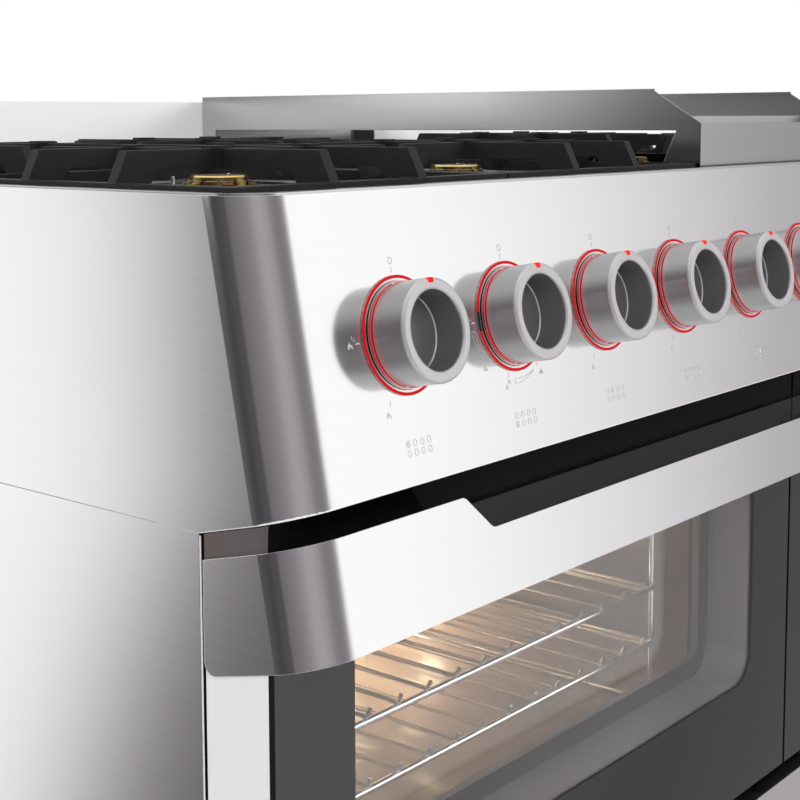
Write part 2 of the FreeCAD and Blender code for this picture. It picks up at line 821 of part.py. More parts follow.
def burner_crown(x, y):
    low = base_top + crown_seat_gap
    body = rod(crown_radius, Vector(x, y, low), Vector(x, y, crown_top))
    spigot = rod(crown_bore_radius - running_gap, Vector(x, y, low - crown_slot_height),
                 Vector(x, y, low))
    lugs = []
    slots = []
    for index in range(crown_lug_count):
        lug = box(crown_radius - crown_lug_reach, crown_radius + crown_lug_reach, -crown_lug_width / 2,
                  crown_lug_width / 2, low, crown_top - crown_slot_height / 2)
        lug.rotate(Vector(0, 0, 0), Vector(0, 0, 1), index * 360 / crown_lug_count)
        lug.translate(Vector(x, y, 0))
        lugs.append(lug)
    for index in range(crown_slot_count):
        slot = box(crown_bore_radius, crown_radius + overrun, -crown_slot_width / 2,
                   crown_slot_width / 2, crown_top - crown_slot_height, crown_top + overrun)
        slot.rotate(Vector(0, 0, 0), Vector(0, 0, 1), (index + 0.5) * 360 / crown_slot_count)
        slot.translate(Vector(x, y, 0))
        slots.append(slot)
    spreader = cut_all(join([body, spigot] + lugs), slots)
    cap = turned([(0, 0), (cap_radius, 0), (cap_radius, cap_height - cap_edge),
                  (cap_radius - cap_edge, cap_height), (0, cap_height)],
                 Vector(x, y, crown_top), Vector(0, 0, 1))
    return group([spreader, cap])


# Griddle: a folded housing that bridges one column, with a thick plate inside it
griddle_front = 47.0
griddle_back_gap = 1.0
griddle_wall_rise = 71.0
griddle_apron_rise = 39.5
griddle_slope_back = 95.0
griddle_slope_rise = 69.0
griddle_arch_rise = 33.0
griddle_foot_run = 43.0
griddle_foot_slant = 18.0
griddle_gap = 2.5
griddle_plate_rise = 46.0
griddle_plate_thickness = 8.0
griddle_ledge = 10.0
griddle_plate_gap = 0.5
trough_width = 34.0
trough_depth = 5.0
griddle_shelf = 24.0

griddle_wall_top = hob_height + griddle_wall_rise
griddle_apron_top = hob_height + griddle_apron_rise
griddle_slope_top = hob_height + griddle_slope_rise
griddle_wall_low = hob_height + griddle_arch_rise
griddle_plate_top = hob_height + griddle_plate_rise
griddle_x = column_places[griddle_column]
griddle_half = column_width / 2 - griddle_gap
griddle_back = pan_back - griddle_back_gap
griddle_seat = pan_floor


def griddle_housing():
    apron_foot = griddle_front + griddle_foot_run
    rear_foot = griddle_back - griddle_foot_run / 2
    outline = [(griddle_front, griddle_seat), (griddle_front, griddle_apron_top),
               (griddle_slope_back, griddle_slope_top), (griddle_slope_back, griddle_wall_top),
               (griddle_back, griddle_wall_top), (griddle_back, griddle_seat), (rear_foot, griddle_seat),
               (rear_foot, griddle_wall_low), (apron_foot - griddle_foot_slant, griddle_wall_low),
               (apron_foot, griddle_seat)]
    walls = []
    for side in (-1, 1):
        outer = griddle_x + side * griddle_half
        walls.append(side_prism(outline, outer, outer - side * sheet))
    apron_top = griddle_apron_top
    left = griddle_x - griddle_half
    right = griddle_x + griddle_half
    shelf_back = griddle_front + griddle_shelf
    plate_low = griddle_plate_top - griddle_plate_thickness
    apron = box(left, right, griddle_front, griddle_front + sheet, griddle_seat, apron_top)
    shelf = box(left, right, griddle_front, shelf_back, apron_top - sheet, apron_top)
    rear = box(left, right, griddle_back - sheet, griddle_back, griddle_seat, griddle_wall_top)
    ledges = [box(left, left + griddle_ledge, shelf_back, griddle_back, plate_low - sheet, plate_low),
              box(right - griddle_ledge, right, shelf_back, griddle_back, plate_low - sheet, plate_low),
              box(left, right, shelf_back - sheet, shelf_back + griddle_ledge, plate_low - sheet, plate_low),
              box(left, right, griddle_back - griddle_ledge, griddle_back, plate_low - sheet, plate_low),
              box(left, right, shelf_back - sheet, shelf_back, plate_low - sheet, apron_top)]
    return join(walls + [apron, shelf, rear] + ledges)


def griddle_plate():
    plate_low = griddle_plate_top - griddle_plate_thickness
    left = griddle_x - griddle_half + sheet + griddle_plate_gap
    right = griddle_x + griddle_half - sheet - griddle_plate_gap
    front = griddle_front + griddle_shelf + griddle_plate_gap
    back = griddle_back - sheet - griddle_plate_gap
    plate = box(left, right, front, back, plate_low, griddle_plate_top)
    trough = box(left + griddle_ledge, right - griddle_ledge, front + griddle_ledge,
                 front + griddle_ledge + trough_width, griddle_plate_top - trough_depth,
                 griddle_plate_top + overrun)
    return plate.cut(trough)


# Knobs, their lit rings and the pushed spindles of the gas taps
knob_radius = 33.9
knob_length = 30.4
knob_lift = 5.0
knob_rim_round = 2.4
knob_bore_radius = 25.7
knob_floor_thickness = 2.4
knob_floor_chamfer = 0.7
knob_socket_depth = 1.6
spindle_radius = 4.0
spindle_hub_radius = 7.2
ring_radius = 39.0
ring_height = 1.2
ring_collar_gap = 0.4
ring_collar_wall = 0.9
ring_collar_height = 4.4
push_travel = 4.0
tap_front = -16.0
tap_back = -62.0
tap_radius = 15.0
spindle_inner_end = -40.0
gas_knob_count = 8

knob_floor_top = knob_lift + knob_floor_thickness
spindle_seat = knob_lift + knob_socket_depth


def knob_profile():
    """The knob's half section about its spindle, as (radius, distance off the fascia) pairs."""
    steps = 6
    rim = []
    for index in range(steps + 1):
        turn = math.pi / 2 * index / steps
        rim.append((knob_radius - knob_rim_round * (1 - math.cos(turn)),
                    knob_length - knob_rim_round * (1 - math.sin(turn))))
    for index in range(steps + 1):
        turn = math.pi / 2 * index / steps
        rim.append((knob_bore_radius + knob_rim_round * (1 - math.sin(turn)),
                    knob_length - knob_rim_round * (1 - math.cos(turn))))
    socket = spindle_radius + shaft_gap
    return ([(socket, knob_lift), (knob_radius, knob_lift)] + rim
            + [(knob_bore_radius, knob_floor_top + knob_floor_chamfer),
               (knob_bore_radius - knob_floor_chamfer, knob_floor_top),
               (0, knob_floor_top), (0, spindle_seat), (socket, spindle_seat)])


def knob(x):
    return turned(knob_profile(), fascia_point(x, 0, 0), fascia_out)


def knob_light_ring(x):
    """A flat light guide on the fascia, with a thin collar round the knob's foot."""
    inner_radius = knob_radius + ring_collar_gap
    guide = tube(ring_radius, inner_radius, fascia_point(x, 0, 0), fascia_point(x, 0, ring_height))
    collar = tube(inner_radius + ring_collar_wall, inner_radius, fascia_point(x, 0, 0),
                  fascia_point(x, 0, ring_collar_height))
    return join([guide, collar])


def knob_shaft(x):
    """The shaft in the knob's socket, with a hub under the knob's floor, in the fascia's hole."""
    shaft = rod(spindle_radius, fascia_point(x, 0, spindle_inner_end),
                fascia_point(x, 0, spindle_seat - running_gap))
    hub = rod(spindle_hub_radius, fascia_point(x, 0, running_gap - sheet),
              fascia_point(x, 0, knob_lift - running_gap))
    return join([shaft, hub])


def spindle(x):
    collar_low = tap_front + push_travel + running_gap
    collar = rod(spindle_hole_radius - running_gap, fascia_point(x, 0, collar_low),
                 fascia_point(x, 0, collar_low + sheet))
    return join([knob_shaft(x), collar])


# Gas rail: the supply pipe, the eight taps on it and the pipe to each burner
rail_radius = 9.0
rail_drop = 22.0
rail_end_run = 40.0
supply_pipe_radius = 4.0
supply_drop = 44.0
supply_rise_y = 92.0
tap_neck_radius = 6.0
bore_end_gap = 2.0

supply_level = hob_height - supply_drop


def rail_point(x):
    middle = (tap_back + spindle_inner_end) / 2
    return fascia_point(x, -tap_radius - rail_drop, middle)


def gas_rail():
    start = rail_point(knob_places[0] - rail_end_run)
    corner = rail_point(inlet_x)
    inlet_end = Vector(inlet_x, body_back + inlet_proud, inlet_z)
    turn = Vector(inlet_x, body_back - overrun, inlet_z)
    rise = Vector(inlet_x, body_back - overrun, corner.z)
    rail = bent_pipe(rail_radius, [start, corner, rise, turn, turn + Vector(0, overrun / 2, 0)])
    panel_point = Vector(inlet_x, body_back, inlet_z)
    collar = rod(inlet_collar_radius, turn + Vector(0, sheet, 0), panel_point)
    inlet = rod(inlet_radius, panel_point, inlet_end)
    pieces = [rail, collar, inlet]
    bores = [rod(inlet_bore_radius, turn + Vector(0, rail_radius, 0), inlet_end + Vector(0, overrun, 0))]
    for index in range(gas_knob_count):
        x = knob_places[index]
        bx, by = burner_places[index]
        body = rod(tap_radius, fascia_point(x, 0, tap_back), fascia_point(x, 0, tap_front))
        bore_end = spindle_inner_end - push_travel - bore_end_gap
        bores.append(rod(spindle_radius + shaft_gap, fascia_point(x, 0, bore_end),
                         fascia_point(x, 0, overrun)))
        middle = fascia_point(x, 0, (tap_back + spindle_inner_end) / 2)
        neck = rod(tap_neck_radius, middle, rail_point(x))
        outlet = fascia_point(x, 0, tap_back + tap_neck_radius)
        route = [outlet, Vector(x, supply_rise_y, outlet.z), Vector(x, supply_rise_y, supply_level),
                 Vector(x, by, supply_level), Vector(bx, by, supply_level), Vector(bx, by, base_low)]
        pieces += [body, neck, bent_pipe(supply_pipe_radius, route)]
    return cut_all(join(pieces), bores)


# Oven control: the selector behind the last knob, and the mains terminal box with its gland
selector_half = 24.0
selector_front = -14.0
selector_back = -50.0
terminal_depth = 46.0
terminal_half = 50.0
terminal_half_height = 40.0


def oven_selector():
    x = knob_places[knob_count - 1]
    body = rod(selector_half, fascia_point(x, 0, selector_back), fascia_point(x, 0, selector_front))
    bore = rod(spindle_radius + shaft_gap, fascia_point(x, 0, spindle_inner_end - bore_end_gap),
               fascia_point(x, 0, overrun))
    neck = tube(spindle_hole_radius - running_gap, spindle_radius + shaft_gap,
                fascia_point(x, 0, selector_front), fascia_point(x, 0, -sheet))
    collar = tube(tap_radius, spindle_radius + shaft_gap, fascia_point(x, 0, selector_front),
                  fascia_point(x, 0, -sheet))
    return join([body.cut(bore), neck, collar])


def terminal_box():
    face = back_panel_face
    body = box(gland_x - terminal_half, gland_x + terminal_half, face - terminal_depth, face,
               gland_z - terminal_half_height, gland_z + terminal_half_height)
    hollow = box(gland_x - terminal_half + sheet, gland_x + terminal_half - sheet,
                 face - terminal_depth + sheet, face - sheet,
                 gland_z - terminal_half_height + sheet, gland_z + terminal_half_height - sheet)
    gland = rod(gland_radius, Vector(gland_x, face - sheet, gland_z),
                Vector(gland_x, body_back + gland_proud, gland_z))
    bore = rod(gland_bore_radius, Vector(gland_x, face - overrun / 2, gland_z),
               Vector(gland_x, body_back + overrun, gland_z))
    return join([body.cut(hollow), gland]).cut(bore)


# Oven fittings: racks on wire side guides, fan, fan cover, motor, grill element and lamp
rack_front = 96.0
rack_back = 470.0
rack_side_gap = 13.0
rack_wire_radius = 1.6
rack_rod_radius = 2.8
rack_wire_pitch = 36.0
rack_tip_rise = 7.0
rack_weld_sink = 0.8
guide_rung_count = 5
guide_first_rise = 31.0
guide_last_drop = 67.0
guide_radius = 2.5
guide_low_rise = 14.0
guide_top_drop = 36.0
guide_post_gap = 7.0
guide_rung_gap = 11.0
guide_front = 100.0
guide_back = 460.0

guide_low = cavity_low + guide_low_rise
guide_top = cavity_top - guide_top_drop
first_level = cavity_low + guide_first_rise
level_step = (cavity_top - guide_last_drop - first_level) / (guide_rung_count - 1)
guide_levels = [first_level + index * level_step for index in range(guide_rung_count)]
rack_levels = guide_levels[1:3]


def oven_rack(side, level):
    left, right = cavity_edges(side)
    x_from = left + rack_side_gap
    x_to = right - rack_side_gap
    end = rack_rod_radius / 2
    pieces = []
    for y in (rack_front, rack_back):
        pieces.append(rod(rack_rod_radius, Vector(x_from - end, y, level), Vector(x_to + end, y, level)))
    for x in (x_from, x_to):
        pieces.append(rod(rack_rod_radius, Vector(x, rack_front, level), Vector(x, rack_back, level)))
    count = int((x_to - x_from) / rack_wire_pitch)
    first = (x_from + x_to - (count - 1) * rack_wire_pitch) / 2
    top = level + rack_rod_radius + rack_wire_radius - rack_weld_sink
    for index in range(count):
        x = first + index * rack_wire_pitch
        route = [Vector(x, rack_back + rack_rod_radius, top), Vector(x, rack_front, top),
                 Vector(x, rack_front - rack_tip_rise / 2, top + rack_tip_rise)]
        pieces.append(bent_pipe(rack_wire_radius, route))
    return join(pieces)


def rack_guide(wall_x, inward):
    x = wall_x + inward * guide_post_gap
    rung_x = wall_x + inward * guide_rung_gap
    pieces = []
    for y in (guide_front, guide_back):
        pieces.append(rod(guide_radius, Vector(x, y, guide_low), Vector(x, y, guide_top)))
        for z in (guide_low, guide_top):
            pieces.append(Part.makeSphere(guide_radius, Vector(x, y, z)))
            pieces.append(rod(guide_radius, Vector(x, y, z), Vector(wall_x, y, z)))
    for level in guide_levels:
        low = level - rack_rod_radius - guide_radius - running_gap
        pieces.append(rod(guide_radius, Vector(rung_x, guide_front, low), Vector(rung_x, guide_back, low)))
    return join(pieces)


def oven_racks():
    pieces = []
    for side in sides:
        left, right = cavity_edges(side)
        for level in rack_levels:
            pieces.append(oven_rack(side, level))
        pieces.append(rack_guide(left, 1))
        pieces.append(rack_guide(right, -1))
    return group(pieces)


fan_cover_gap = 6.0
fan_cover_depth = 40.0
fan_radius = 66.0
fan_blade_count = 10
fan_blade_depth = 18.0
fan_hub_radius = 12.0
fan_clear = 5.0
motor_radius = 32.0
motor_length = 46.0
cover_slot_count = 9
cover_slot_width = 6.0
cover_slot_margin = 18.0

fan_cover_half = fan_radius + fan_cover_gap


def fan_cover(side):
    x = oven_middle(side)
    half = fan_cover_half
    front = cavity_back - fan_cover_depth
    outer = box(x - half, x + half, front, cavity_back, fan_height - half, fan_height + half)
    inner = box(x - half + sheet, x + half - sheet, front + sheet, cavity_back + overrun,
                fan_height - half + sheet, fan_height + half - sheet)
    step = (half - cover_slot_margin) * 2 / (cover_slot_count - 1)
    slots = []
    for index in range(cover_slot_count):
        slot_x = x - half + cover_slot_margin + index * step
        slots.append(box(slot_x - cover_slot_width / 2, slot_x + cover_slot_width / 2, front - overrun,
                         front + fan_clear, fan_height - half + cover_slot_margin,
                         fan_height + half - cover_slot_margin))
    return cut_all(outer, [inner] + slots)


def fan_motor(side):
    start = cavity_back + sheet + insulation_thickness
    body = rod(motor_radius, fan_axis(side, start), fan_axis(side, start + motor_length))
    bore = rod(fan_shaft_radius + shaft_gap, fan_axis(side, start - overrun),
               fan_axis(side, start + motor_length / 2))
    return body.cut(bore)


def fan_covers_and_motors():
    return group([fan_cover(side) for side in sides] + [fan_motor(side) for side in sides])


def oven_fan(side):
    back = cavity_back - fan_clear
    front = back - fan_blade_depth
    disc = rod(fan_radius, fan_axis(side, back - sheet), fan_axis(side, back))
    hub = rod(fan_hub_radius, fan_axis(side, front), fan_axis(side, back))
    motor_start = cavity_back + sheet + insulation_thickness
    shaft = rod(fan_shaft_radius, fan_axis(side, back), fan_axis(side, motor_start + motor_length / 2
                                                                 - fan_clear))
    blades = []
    for index in range(fan_blade_count):
        blade = box(fan_hub_radius * 2, fan_radius, 0, fan_blade_depth, -sheet / 2, sheet / 2)
        blade.rotate(Vector(0, 0, 0), Vector(0, 1, 0), index * 360 / fan_blade_count)
        blade.translate(fan_axis(side, front))
        blades.append(blade)
    return join([disc, hub, shaft] + blades)


element_radius = 3.2
element_drop = 20.0
element_margin = 60.0
element_front = 130.0
element_loop_count = 4

element_height = cavity_top - element_drop


def oven_elements():
    elements = []
    for side in sides:
        left, right = cavity_edges(side)
        x_from = left + element_margin
        step = (right - left - element_margin * 2) / (element_loop_count - 1)
        route = []
        for index in range(element_loop_count):
            x = x_from + index * step
            is_end = index in (0, element_loop_count - 1)
            far = Vector(x, cavity_back if is_end else cavity_back - element_margin, element_height)
            near = Vector(x, element_front, element_height)
            route += [far, near] if index % 2 == 0 else [near, far]
        elements.append(bent_pipe(element_radius, route))
    return group(elements)


lamp_radius = 24.0
lamp_depth = 14.0
lamp_edge = 5.0
lamp_drop = 61.0
lamp_inset = 32.0

lamp_height = cavity_top - lamp_drop


def oven_lamps():
    lamps = []
    for side in sides:
        left, right = cavity_edges(side)
        lens = turned([(0, 0), (lamp_radius, 0), (lamp_radius, lamp_depth - lamp_edge),
                       (lamp_radius - lamp_edge, lamp_depth), (0, lamp_depth)],
                      Vector(left + lamp_inset, cavity_back, lamp_height), Vector(0, -1, 0))
        lamps.append(lens)
    return group(lamps)


# Door gaskets round the mouth of each oven
gasket_margin = 4.0
gasket_width = 8.0


def door_gaskets():
    gaskets = []
    for side in sides:
        left, right = cavity_edges(side)
        near = gasket_margin
        far = gasket_margin + gasket_width
        front = door_back + running_gap
        outer = box(left - far, right + far, front, body_front, cavity_low - far, cavity_top + gasket_width)
        inner = box(left - near, right + near, front - overrun, body_front + overrun, cavity_low - near,
                    cavity_top + near / 2)
        gaskets.append(outer.cut(inner))
    return group(gaskets)


# All the pieces, each under the name of its file
def build():
    parts = {
        "chassis_frame": chassis_frame(),
        "side_panels": side_panels(),
        "back_panel": back_panel(),
        "front_frame": front_frame(),
        "toe_plinth": toe_plinth(),
        "levelling_feet": levelling_feet(),
        "fascia_shell": fascia_shell(),
        "knob_light_rings": group([knob_light_ring(x) for x in knob_places]),
        "hob_pan": hob_pan(),
        "rear_upstand": rear_upstand(),
        "oven_liners": oven_liners(),
        "oven_racks": oven_racks(),
        "oven_insulation": oven_insulation(),
        "oven_elements": oven_elements(),
        "oven_lamps": oven_lamps(),
        "fan_covers_and_motors": fan_covers_and_motors(),
        "gas_rail": gas_rail(),
        "burner_bases": burner_bases(),
        "door_gaskets": door_gaskets(),
        "selector_and_terminal_box": group([oven_selector(), terminal_box()]),
        "fasteners": fasteners(),
        "storage_drawer": storage_drawer(),
        "griddle_housing": griddle_housing(),
        "griddle_plate": griddle_plate(),
    }
    for side in sides:
        parts["door_frame_" + side] = door_frame(side)
        parts["door_glass_" + side] = door_glass(side)
        parts["handle_band_" + side] = handle_band(side)
        parts["oven_fan_" + side] = oven_fan(side)
    grate_names = {0: "grate_left", 1: "grate_middle", 3: "grate_right"}
    for column, name in grate_names.items():
        parts[name] = grate(column_places[column])
    for index, x in enumerate(knob_places):
        number = str(index + 1)
        if index < gas_knob_count:
            parts["knob_" + number] = knob(x)
            parts["spindle_" + number] = spindle(x)
            bx, by = burner_places[index]
            parts["burner_crown_" + number] = burner_crown(bx, by)
        else:
            parts["knob_" + number] = group([knob(x), knob_shaft(x)])
    return parts


parts = build()
whole = group(list(parts.values())).BoundBox
depth_middle = (whole.YMin + whole.YMax) / 2

os.makedirs("parts", exist_ok=True)
for name, shape in parts.items():
    shape.translate(Vector(0, -depth_middle, 0))
    shape.exportStep("parts/" + name + ".step")
print(len(parts), "parts", "depth middle", round(depth_middle, 3))
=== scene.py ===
import math

import bmesh
import bpy
from mathutils import Matrix, Vector


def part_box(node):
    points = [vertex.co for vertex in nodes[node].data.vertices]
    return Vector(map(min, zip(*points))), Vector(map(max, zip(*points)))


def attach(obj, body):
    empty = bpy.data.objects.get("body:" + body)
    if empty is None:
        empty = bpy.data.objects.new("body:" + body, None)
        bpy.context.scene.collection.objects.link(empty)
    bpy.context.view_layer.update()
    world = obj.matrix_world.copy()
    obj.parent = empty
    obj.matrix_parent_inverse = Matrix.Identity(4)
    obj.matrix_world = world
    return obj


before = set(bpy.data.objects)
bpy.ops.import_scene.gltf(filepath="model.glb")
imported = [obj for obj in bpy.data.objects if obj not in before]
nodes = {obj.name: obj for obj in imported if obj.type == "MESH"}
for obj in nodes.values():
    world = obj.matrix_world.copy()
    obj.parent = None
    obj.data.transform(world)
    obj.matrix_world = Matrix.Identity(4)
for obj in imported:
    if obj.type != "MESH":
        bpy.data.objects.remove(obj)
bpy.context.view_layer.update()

# The studio: a level view from the front left corner, low over the hob, as in the photograph.
# A white room shows behind the range. Its polished sheet mirrors a plain studio with a bright front
# right side, darker corners and a pale ceiling and floor. Three soft lamps light the matt pieces.
camera = bpy.data.objects.new("photo_camera", bpy.data.cameras.new("photo_camera"))
camera.location = (-1.2184, -0.9451, 0.9452)
camera.rotation_euler = (math.radians(90 - 5.84), math.radians(0.30), math.radians(-49.47))
camera.data.lens = 67.5
camera.data.shift_x = 0.0427
camera.data.shift_y = -0.16
camera.data.clip_start = 0.02
bpy.context.scene.collection.objects.link(camera)
bpy.context.scene.camera = camera
bpy.context.scene.view_settings.view_transform = "Standard"


class Value:
    """A shader socket that joins in Python arithmetic, where each operator adds a Math node."""

    def __init__(self, tree, socket=None):
        self.tree = tree
        self.socket = socket

    def node(self, kind, settings, inputs, output=0):
        """A new node of a type, with its settings and with values or links on its sockets."""
        made = self.tree.nodes.new("ShaderNode" + kind)
        for name, setting in settings.items():
            if name == "stops":
                ramp = made.color_ramp
                while len(ramp.elements) < len(setting):
                    ramp.elements.new(0.5)
                for element, (place, colour) in zip(ramp.elements, setting):
                    element.position = place
                for element, (place, colour) in zip(ramp.elements, setting):
                    element.color = colour
            else:
                setattr(made, name, setting)
        for name, value in inputs.items():
            socket = made.inputs[name]
            if isinstance(value, Value):
                self.tree.links.new(value.socket, socket)
            else:
                socket.default_value = value
        return Value(self.tree, made.outputs[output])

    def math(self, operation, *others):
        return self.node("Math", {"operation": operation}, dict(enumerate((self,) + others)))

    def __add__(self, other):
        return self.math("ADD", other)

    def __sub__(self, other):
        return self.math("SUBTRACT", other)

    def __rsub__(self, other):
        return self.node("Math", {"operation": "SUBTRACT"}, {0: other, 1: self})

    def __mul__(self, other):
        return self.math("MULTIPLY", other)

    def __rmul__(self, other):
        return self.math("MULTIPLY", other)

    def __truediv__(self, other):
        return self.math("DIVIDE", other)

    def __abs__(self):
        return self.math("ABSOLUTE")

    def above(self, limit, softness):
        """0 below the limit and 1 above it, with a soft step between."""
        return self.node("MapRange", {"interpolation_type": "SMOOTHSTEP"},
                         {"Value": self, "From Min": limit - softness, "From Max": limit + softness})

    def axes(self):
        """The X, Y and Z of a vector."""
        split = self.tree.nodes.new("ShaderNodeSeparateXYZ")
        self.tree.links.new(self.socket, split.inputs[0])
        return [Value(self.tree, output) for output in split.outputs]

    def blend(self, first, second):
        """Mix two colours, or a colour and a socket, with this value as the factor."""
        return self.node("Mix", {"data_type": "RGBA"}, {0: self, 6: first, 7: second}, 2)

    def noise(self, scale, detail, stretch=(1, 1, 1)):
        place = self.node("Mapping", {}, {"Vector": self, "Scale": stretch})
        return self.node("TexNoise", {}, {"Vector": place, "Scale": scale, "Detail": detail})


def grey(level):
    return (level, level, level, 1)


def stops_round(levels):
    """Colour stops from pairs of (compass angle in degrees, brightness), where the darker ones are warmer."""
    return [((angle + 180) / 360, (level, level * (0.925 + 0.075 * level), level * 0.995, 1))
            for angle, level in levels]


# The studio's walls carry bands of grey by compass angle, in degrees counter-clockwise from the right.
# Places in it are those of a direction one unit long, so that height 0 is the level of the eye. The bands
# lean: a rate turns them by that many degrees for each unit of height, between or below the given heights.
# They lean more at the low left front, and shift behind the range. A bright panel stands before them.
lean_from = -0.06
lean_to = 0.14
lean_rate = -20.0
lean_at_eye = 0.4
low_lean_from = -0.24
low_lean_rate = 23.0
left_of = 0.3
in_front_of = -0.4
front_softness = 0.2
front_lean_from = 0.08
front_lean_reach = 0.1
front_lean_rate = 30.0
low_front_lean_from = -0.29
low_front_lean_rate = 70.0
behind_from = 0.3
behind_low = -0.025
behind_shift = 4.0
panel_angle = 142.7
panel_half_angle = 4.7
panel_middle = 0.17
panel_half_height = 0.172
panel_grey = 1.3
ceiling_level = 0.68
ceiling_grey = 0.78
floor_level = 0.56
floor_grey = 0.68
mirrored_brightness = 1.22
matt_light_grey = 0.42

room = bpy.data.worlds.new("studio_room")
room.use_nodes = True
room.node_tree.nodes.clear()
bpy.context.scene.world = room
paint = Value(room.node_tree)
across, deep, height = paint.node("TexCoord", {}, {}, "Generated").axes()
lean = height.math("MAXIMUM", lean_from).math("MINIMUM", lean_to) * lean_rate + lean_at_eye
low_lean = (low_lean_from - height).math("MAXIMUM", 0.0) * low_lean_rate
left_front = (1 - across.above(left_of, front_softness)) * (1 - deep.above(in_front_of, front_softness))
front_depth = (front_lean_from - height).math("MAXIMUM", 0.0).math("MINIMUM", front_lean_reach)
front_lean = front_depth * front_lean_rate
front_lean = front_lean + (low_front_lean_from - height).math("MAXIMUM", 0.0) * low_front_lean_rate
behind = height.above(behind_low, 0.015) * deep.above(behind_from, 0.1) * behind_shift
all_lean = lean + low_lean + left_front * front_lean
turn = deep.math("ARCTAN2", across) / (2 * math.pi) + all_lean / 360 + 0.5
walls = paint.node("ValToRGB", {"stops": stops_round([
    (-180, 0.125), (-176, 0.15), (-158, 0.19), (-142, 0.24), (-128, 0.335), (-117, 0.35), (-104, 0.3),
    (-95, 0.225), (-88, 0.197), (-81, 0.195), (-75, 0.22), (-69.5, 0.31), (-64, 0.72), (-58.5, 0.985),
    (-44, 1.0), (-40.5, 0.985), (-37, 0.91), (-33.1, 0.78), (-29.4, 0.6), (-26.8, 0.46), (-24, 0.36),
    (20, 0.5), (114, 1.0), (128.5, 0.93), (131, 0.83), (133, 0.62), (134.6, 0.4), (136, 0.22),
    (139, 0.12), (147, 0.078), (160, 0.055), (171, 0.078)])}, {"Fac": turn + behind / 360})
beside_panel = abs(turn * 360 - (panel_angle + 180)).above(panel_half_angle, 3.0)
past_panel = abs(height - panel_middle).above(panel_half_height, 0.006)
mirrored = ((1 - beside_panel) * (1 - past_panel)).blend(walls, grey(panel_grey))
mirrored = height.above(ceiling_level, 0.25).blend(mirrored, grey(ceiling_grey))
mirrored = (-1 * height).above(floor_level, 0.12).blend(mirrored, grey(floor_grey))
mirrored = mirrored.node("VectorMath", {"operation": "SCALE"}, {0: mirrored, "Scale": mirrored_brightness})
ray = room.node_tree.nodes.new("ShaderNodeLightPath")
seen = Value(room.node_tree, ray.outputs["Is Camera Ray"])
glossy = Value(room.node_tree, ray.outputs["Is Glossy Ray"])
through = Value(room.node_tree, ray.outputs["Is Transmission Ray"])
shown = glossy.math("MAXIMUM", through).blend(grey(matt_light_grey), mirrored)
shown = seen.blend(shown, grey(1.0))
backdrop = paint.node("Background", {}, {"Color": shown, "Strength": 1.0})
world_out = room.node_tree.nodes.new("ShaderNodeOutputWorld")
room.node_tree.links.new(backdrop.socket, world_out.inputs["Surface"])


lamp_height_share = 0.6


def soft_lamp(name, place, target, size, power):
    lamp = bpy.data.objects.new(name, bpy.data.lights.new(name, "AREA"))
    lamp.data.shape = "RECTANGLE"
    lamp.data.size = size
    lamp.data.size_y = size * lamp_height_share
    lamp.data.energy = power
    lamp.location = place
    lamp.rotation_euler = (Vector(target) - Vector(place)).to_track_quat("-Z", "Y").to_euler()
    lamp.visible_glossy = False
    bpy.context.scene.collection.objects.link(lamp)


soft_lamp("key_lamp", (-2.6, -3.0, 3.0), (0, 0, 0.6), 2.4, 130)
soft_lamp("fill_lamp", (3.2, -2.4, 2.2), (0, 0, 0.5), 2.4, 70)
soft_lamp("top_lamp", (0, 0.6, 4.0), (0, 0, 0.9), 3.0, 90)


def new_finish(name):
    """A new material, its shader tree and the place on the object that its patterns read."""
    material = bpy.data.materials.new(name)
    material.use_nodes = True
    material.node_tree.nodes.clear()
    paint = Value(material.node_tree)
    return material, paint, paint.node("TexCoord", {}, {}, "Object")


def show(paint, shader):
    output = paint.tree.nodes.new("ShaderNodeOutputMaterial")
    paint.tree.links.new(shader.socket, output.inputs["Surface"])


def dress(material, *names):
    for name in names:
        for place in nodes[name].material_slots:
            place.material = material


def piece(name, mesh_builder, material, body):
    """A new piece from a bmesh, on its body and with the given finish."""
    mesh = bpy.data.meshes.new(name)
    mesh_builder.to_mesh(mesh)
    mesh_builder.free()
    made = bpy.data.objects.new(name, mesh)
    bpy.context.scene.collection.objects.link(made)
    mesh.materials.append(material)
    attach(made, body)


floor_reach = 9.0
floor_fade_middle = 2.2
floor_fade_half = 1.2
floor_drop = 0.0005

floor_paint, paint, place = new_finish("pale_floor")
sideways, backwards, level = place.axes()
away = (sideways * sideways + backwards * backwards).math("SQRT")
far = away.above(floor_fade_middle, floor_fade_half)
matt = paint.node("BsdfDiffuse", {}, {"Color": grey(0.86)})
glow = paint.node("Emission", {}, {"Color": grey(1.0), "Strength": 1.0})
show(paint, paint.node("MixShader", {}, {0: far, 1: matt, 2: glow}))
mesh = bpy.data.meshes.new("floor")
ground = bmesh.new()
bmesh.ops.create_grid(ground, x_segments=1, y_segments=1, size=floor_reach)
ground.to_mesh(mesh)
ground.free()
floor = bpy.data.objects.new("floor", mesh)
floor.location = (0, 0, -floor_drop)
floor.visible_glossy = False
mesh.materials.append(floor_paint)
bpy.context.scene.collection.objects.link(floor)


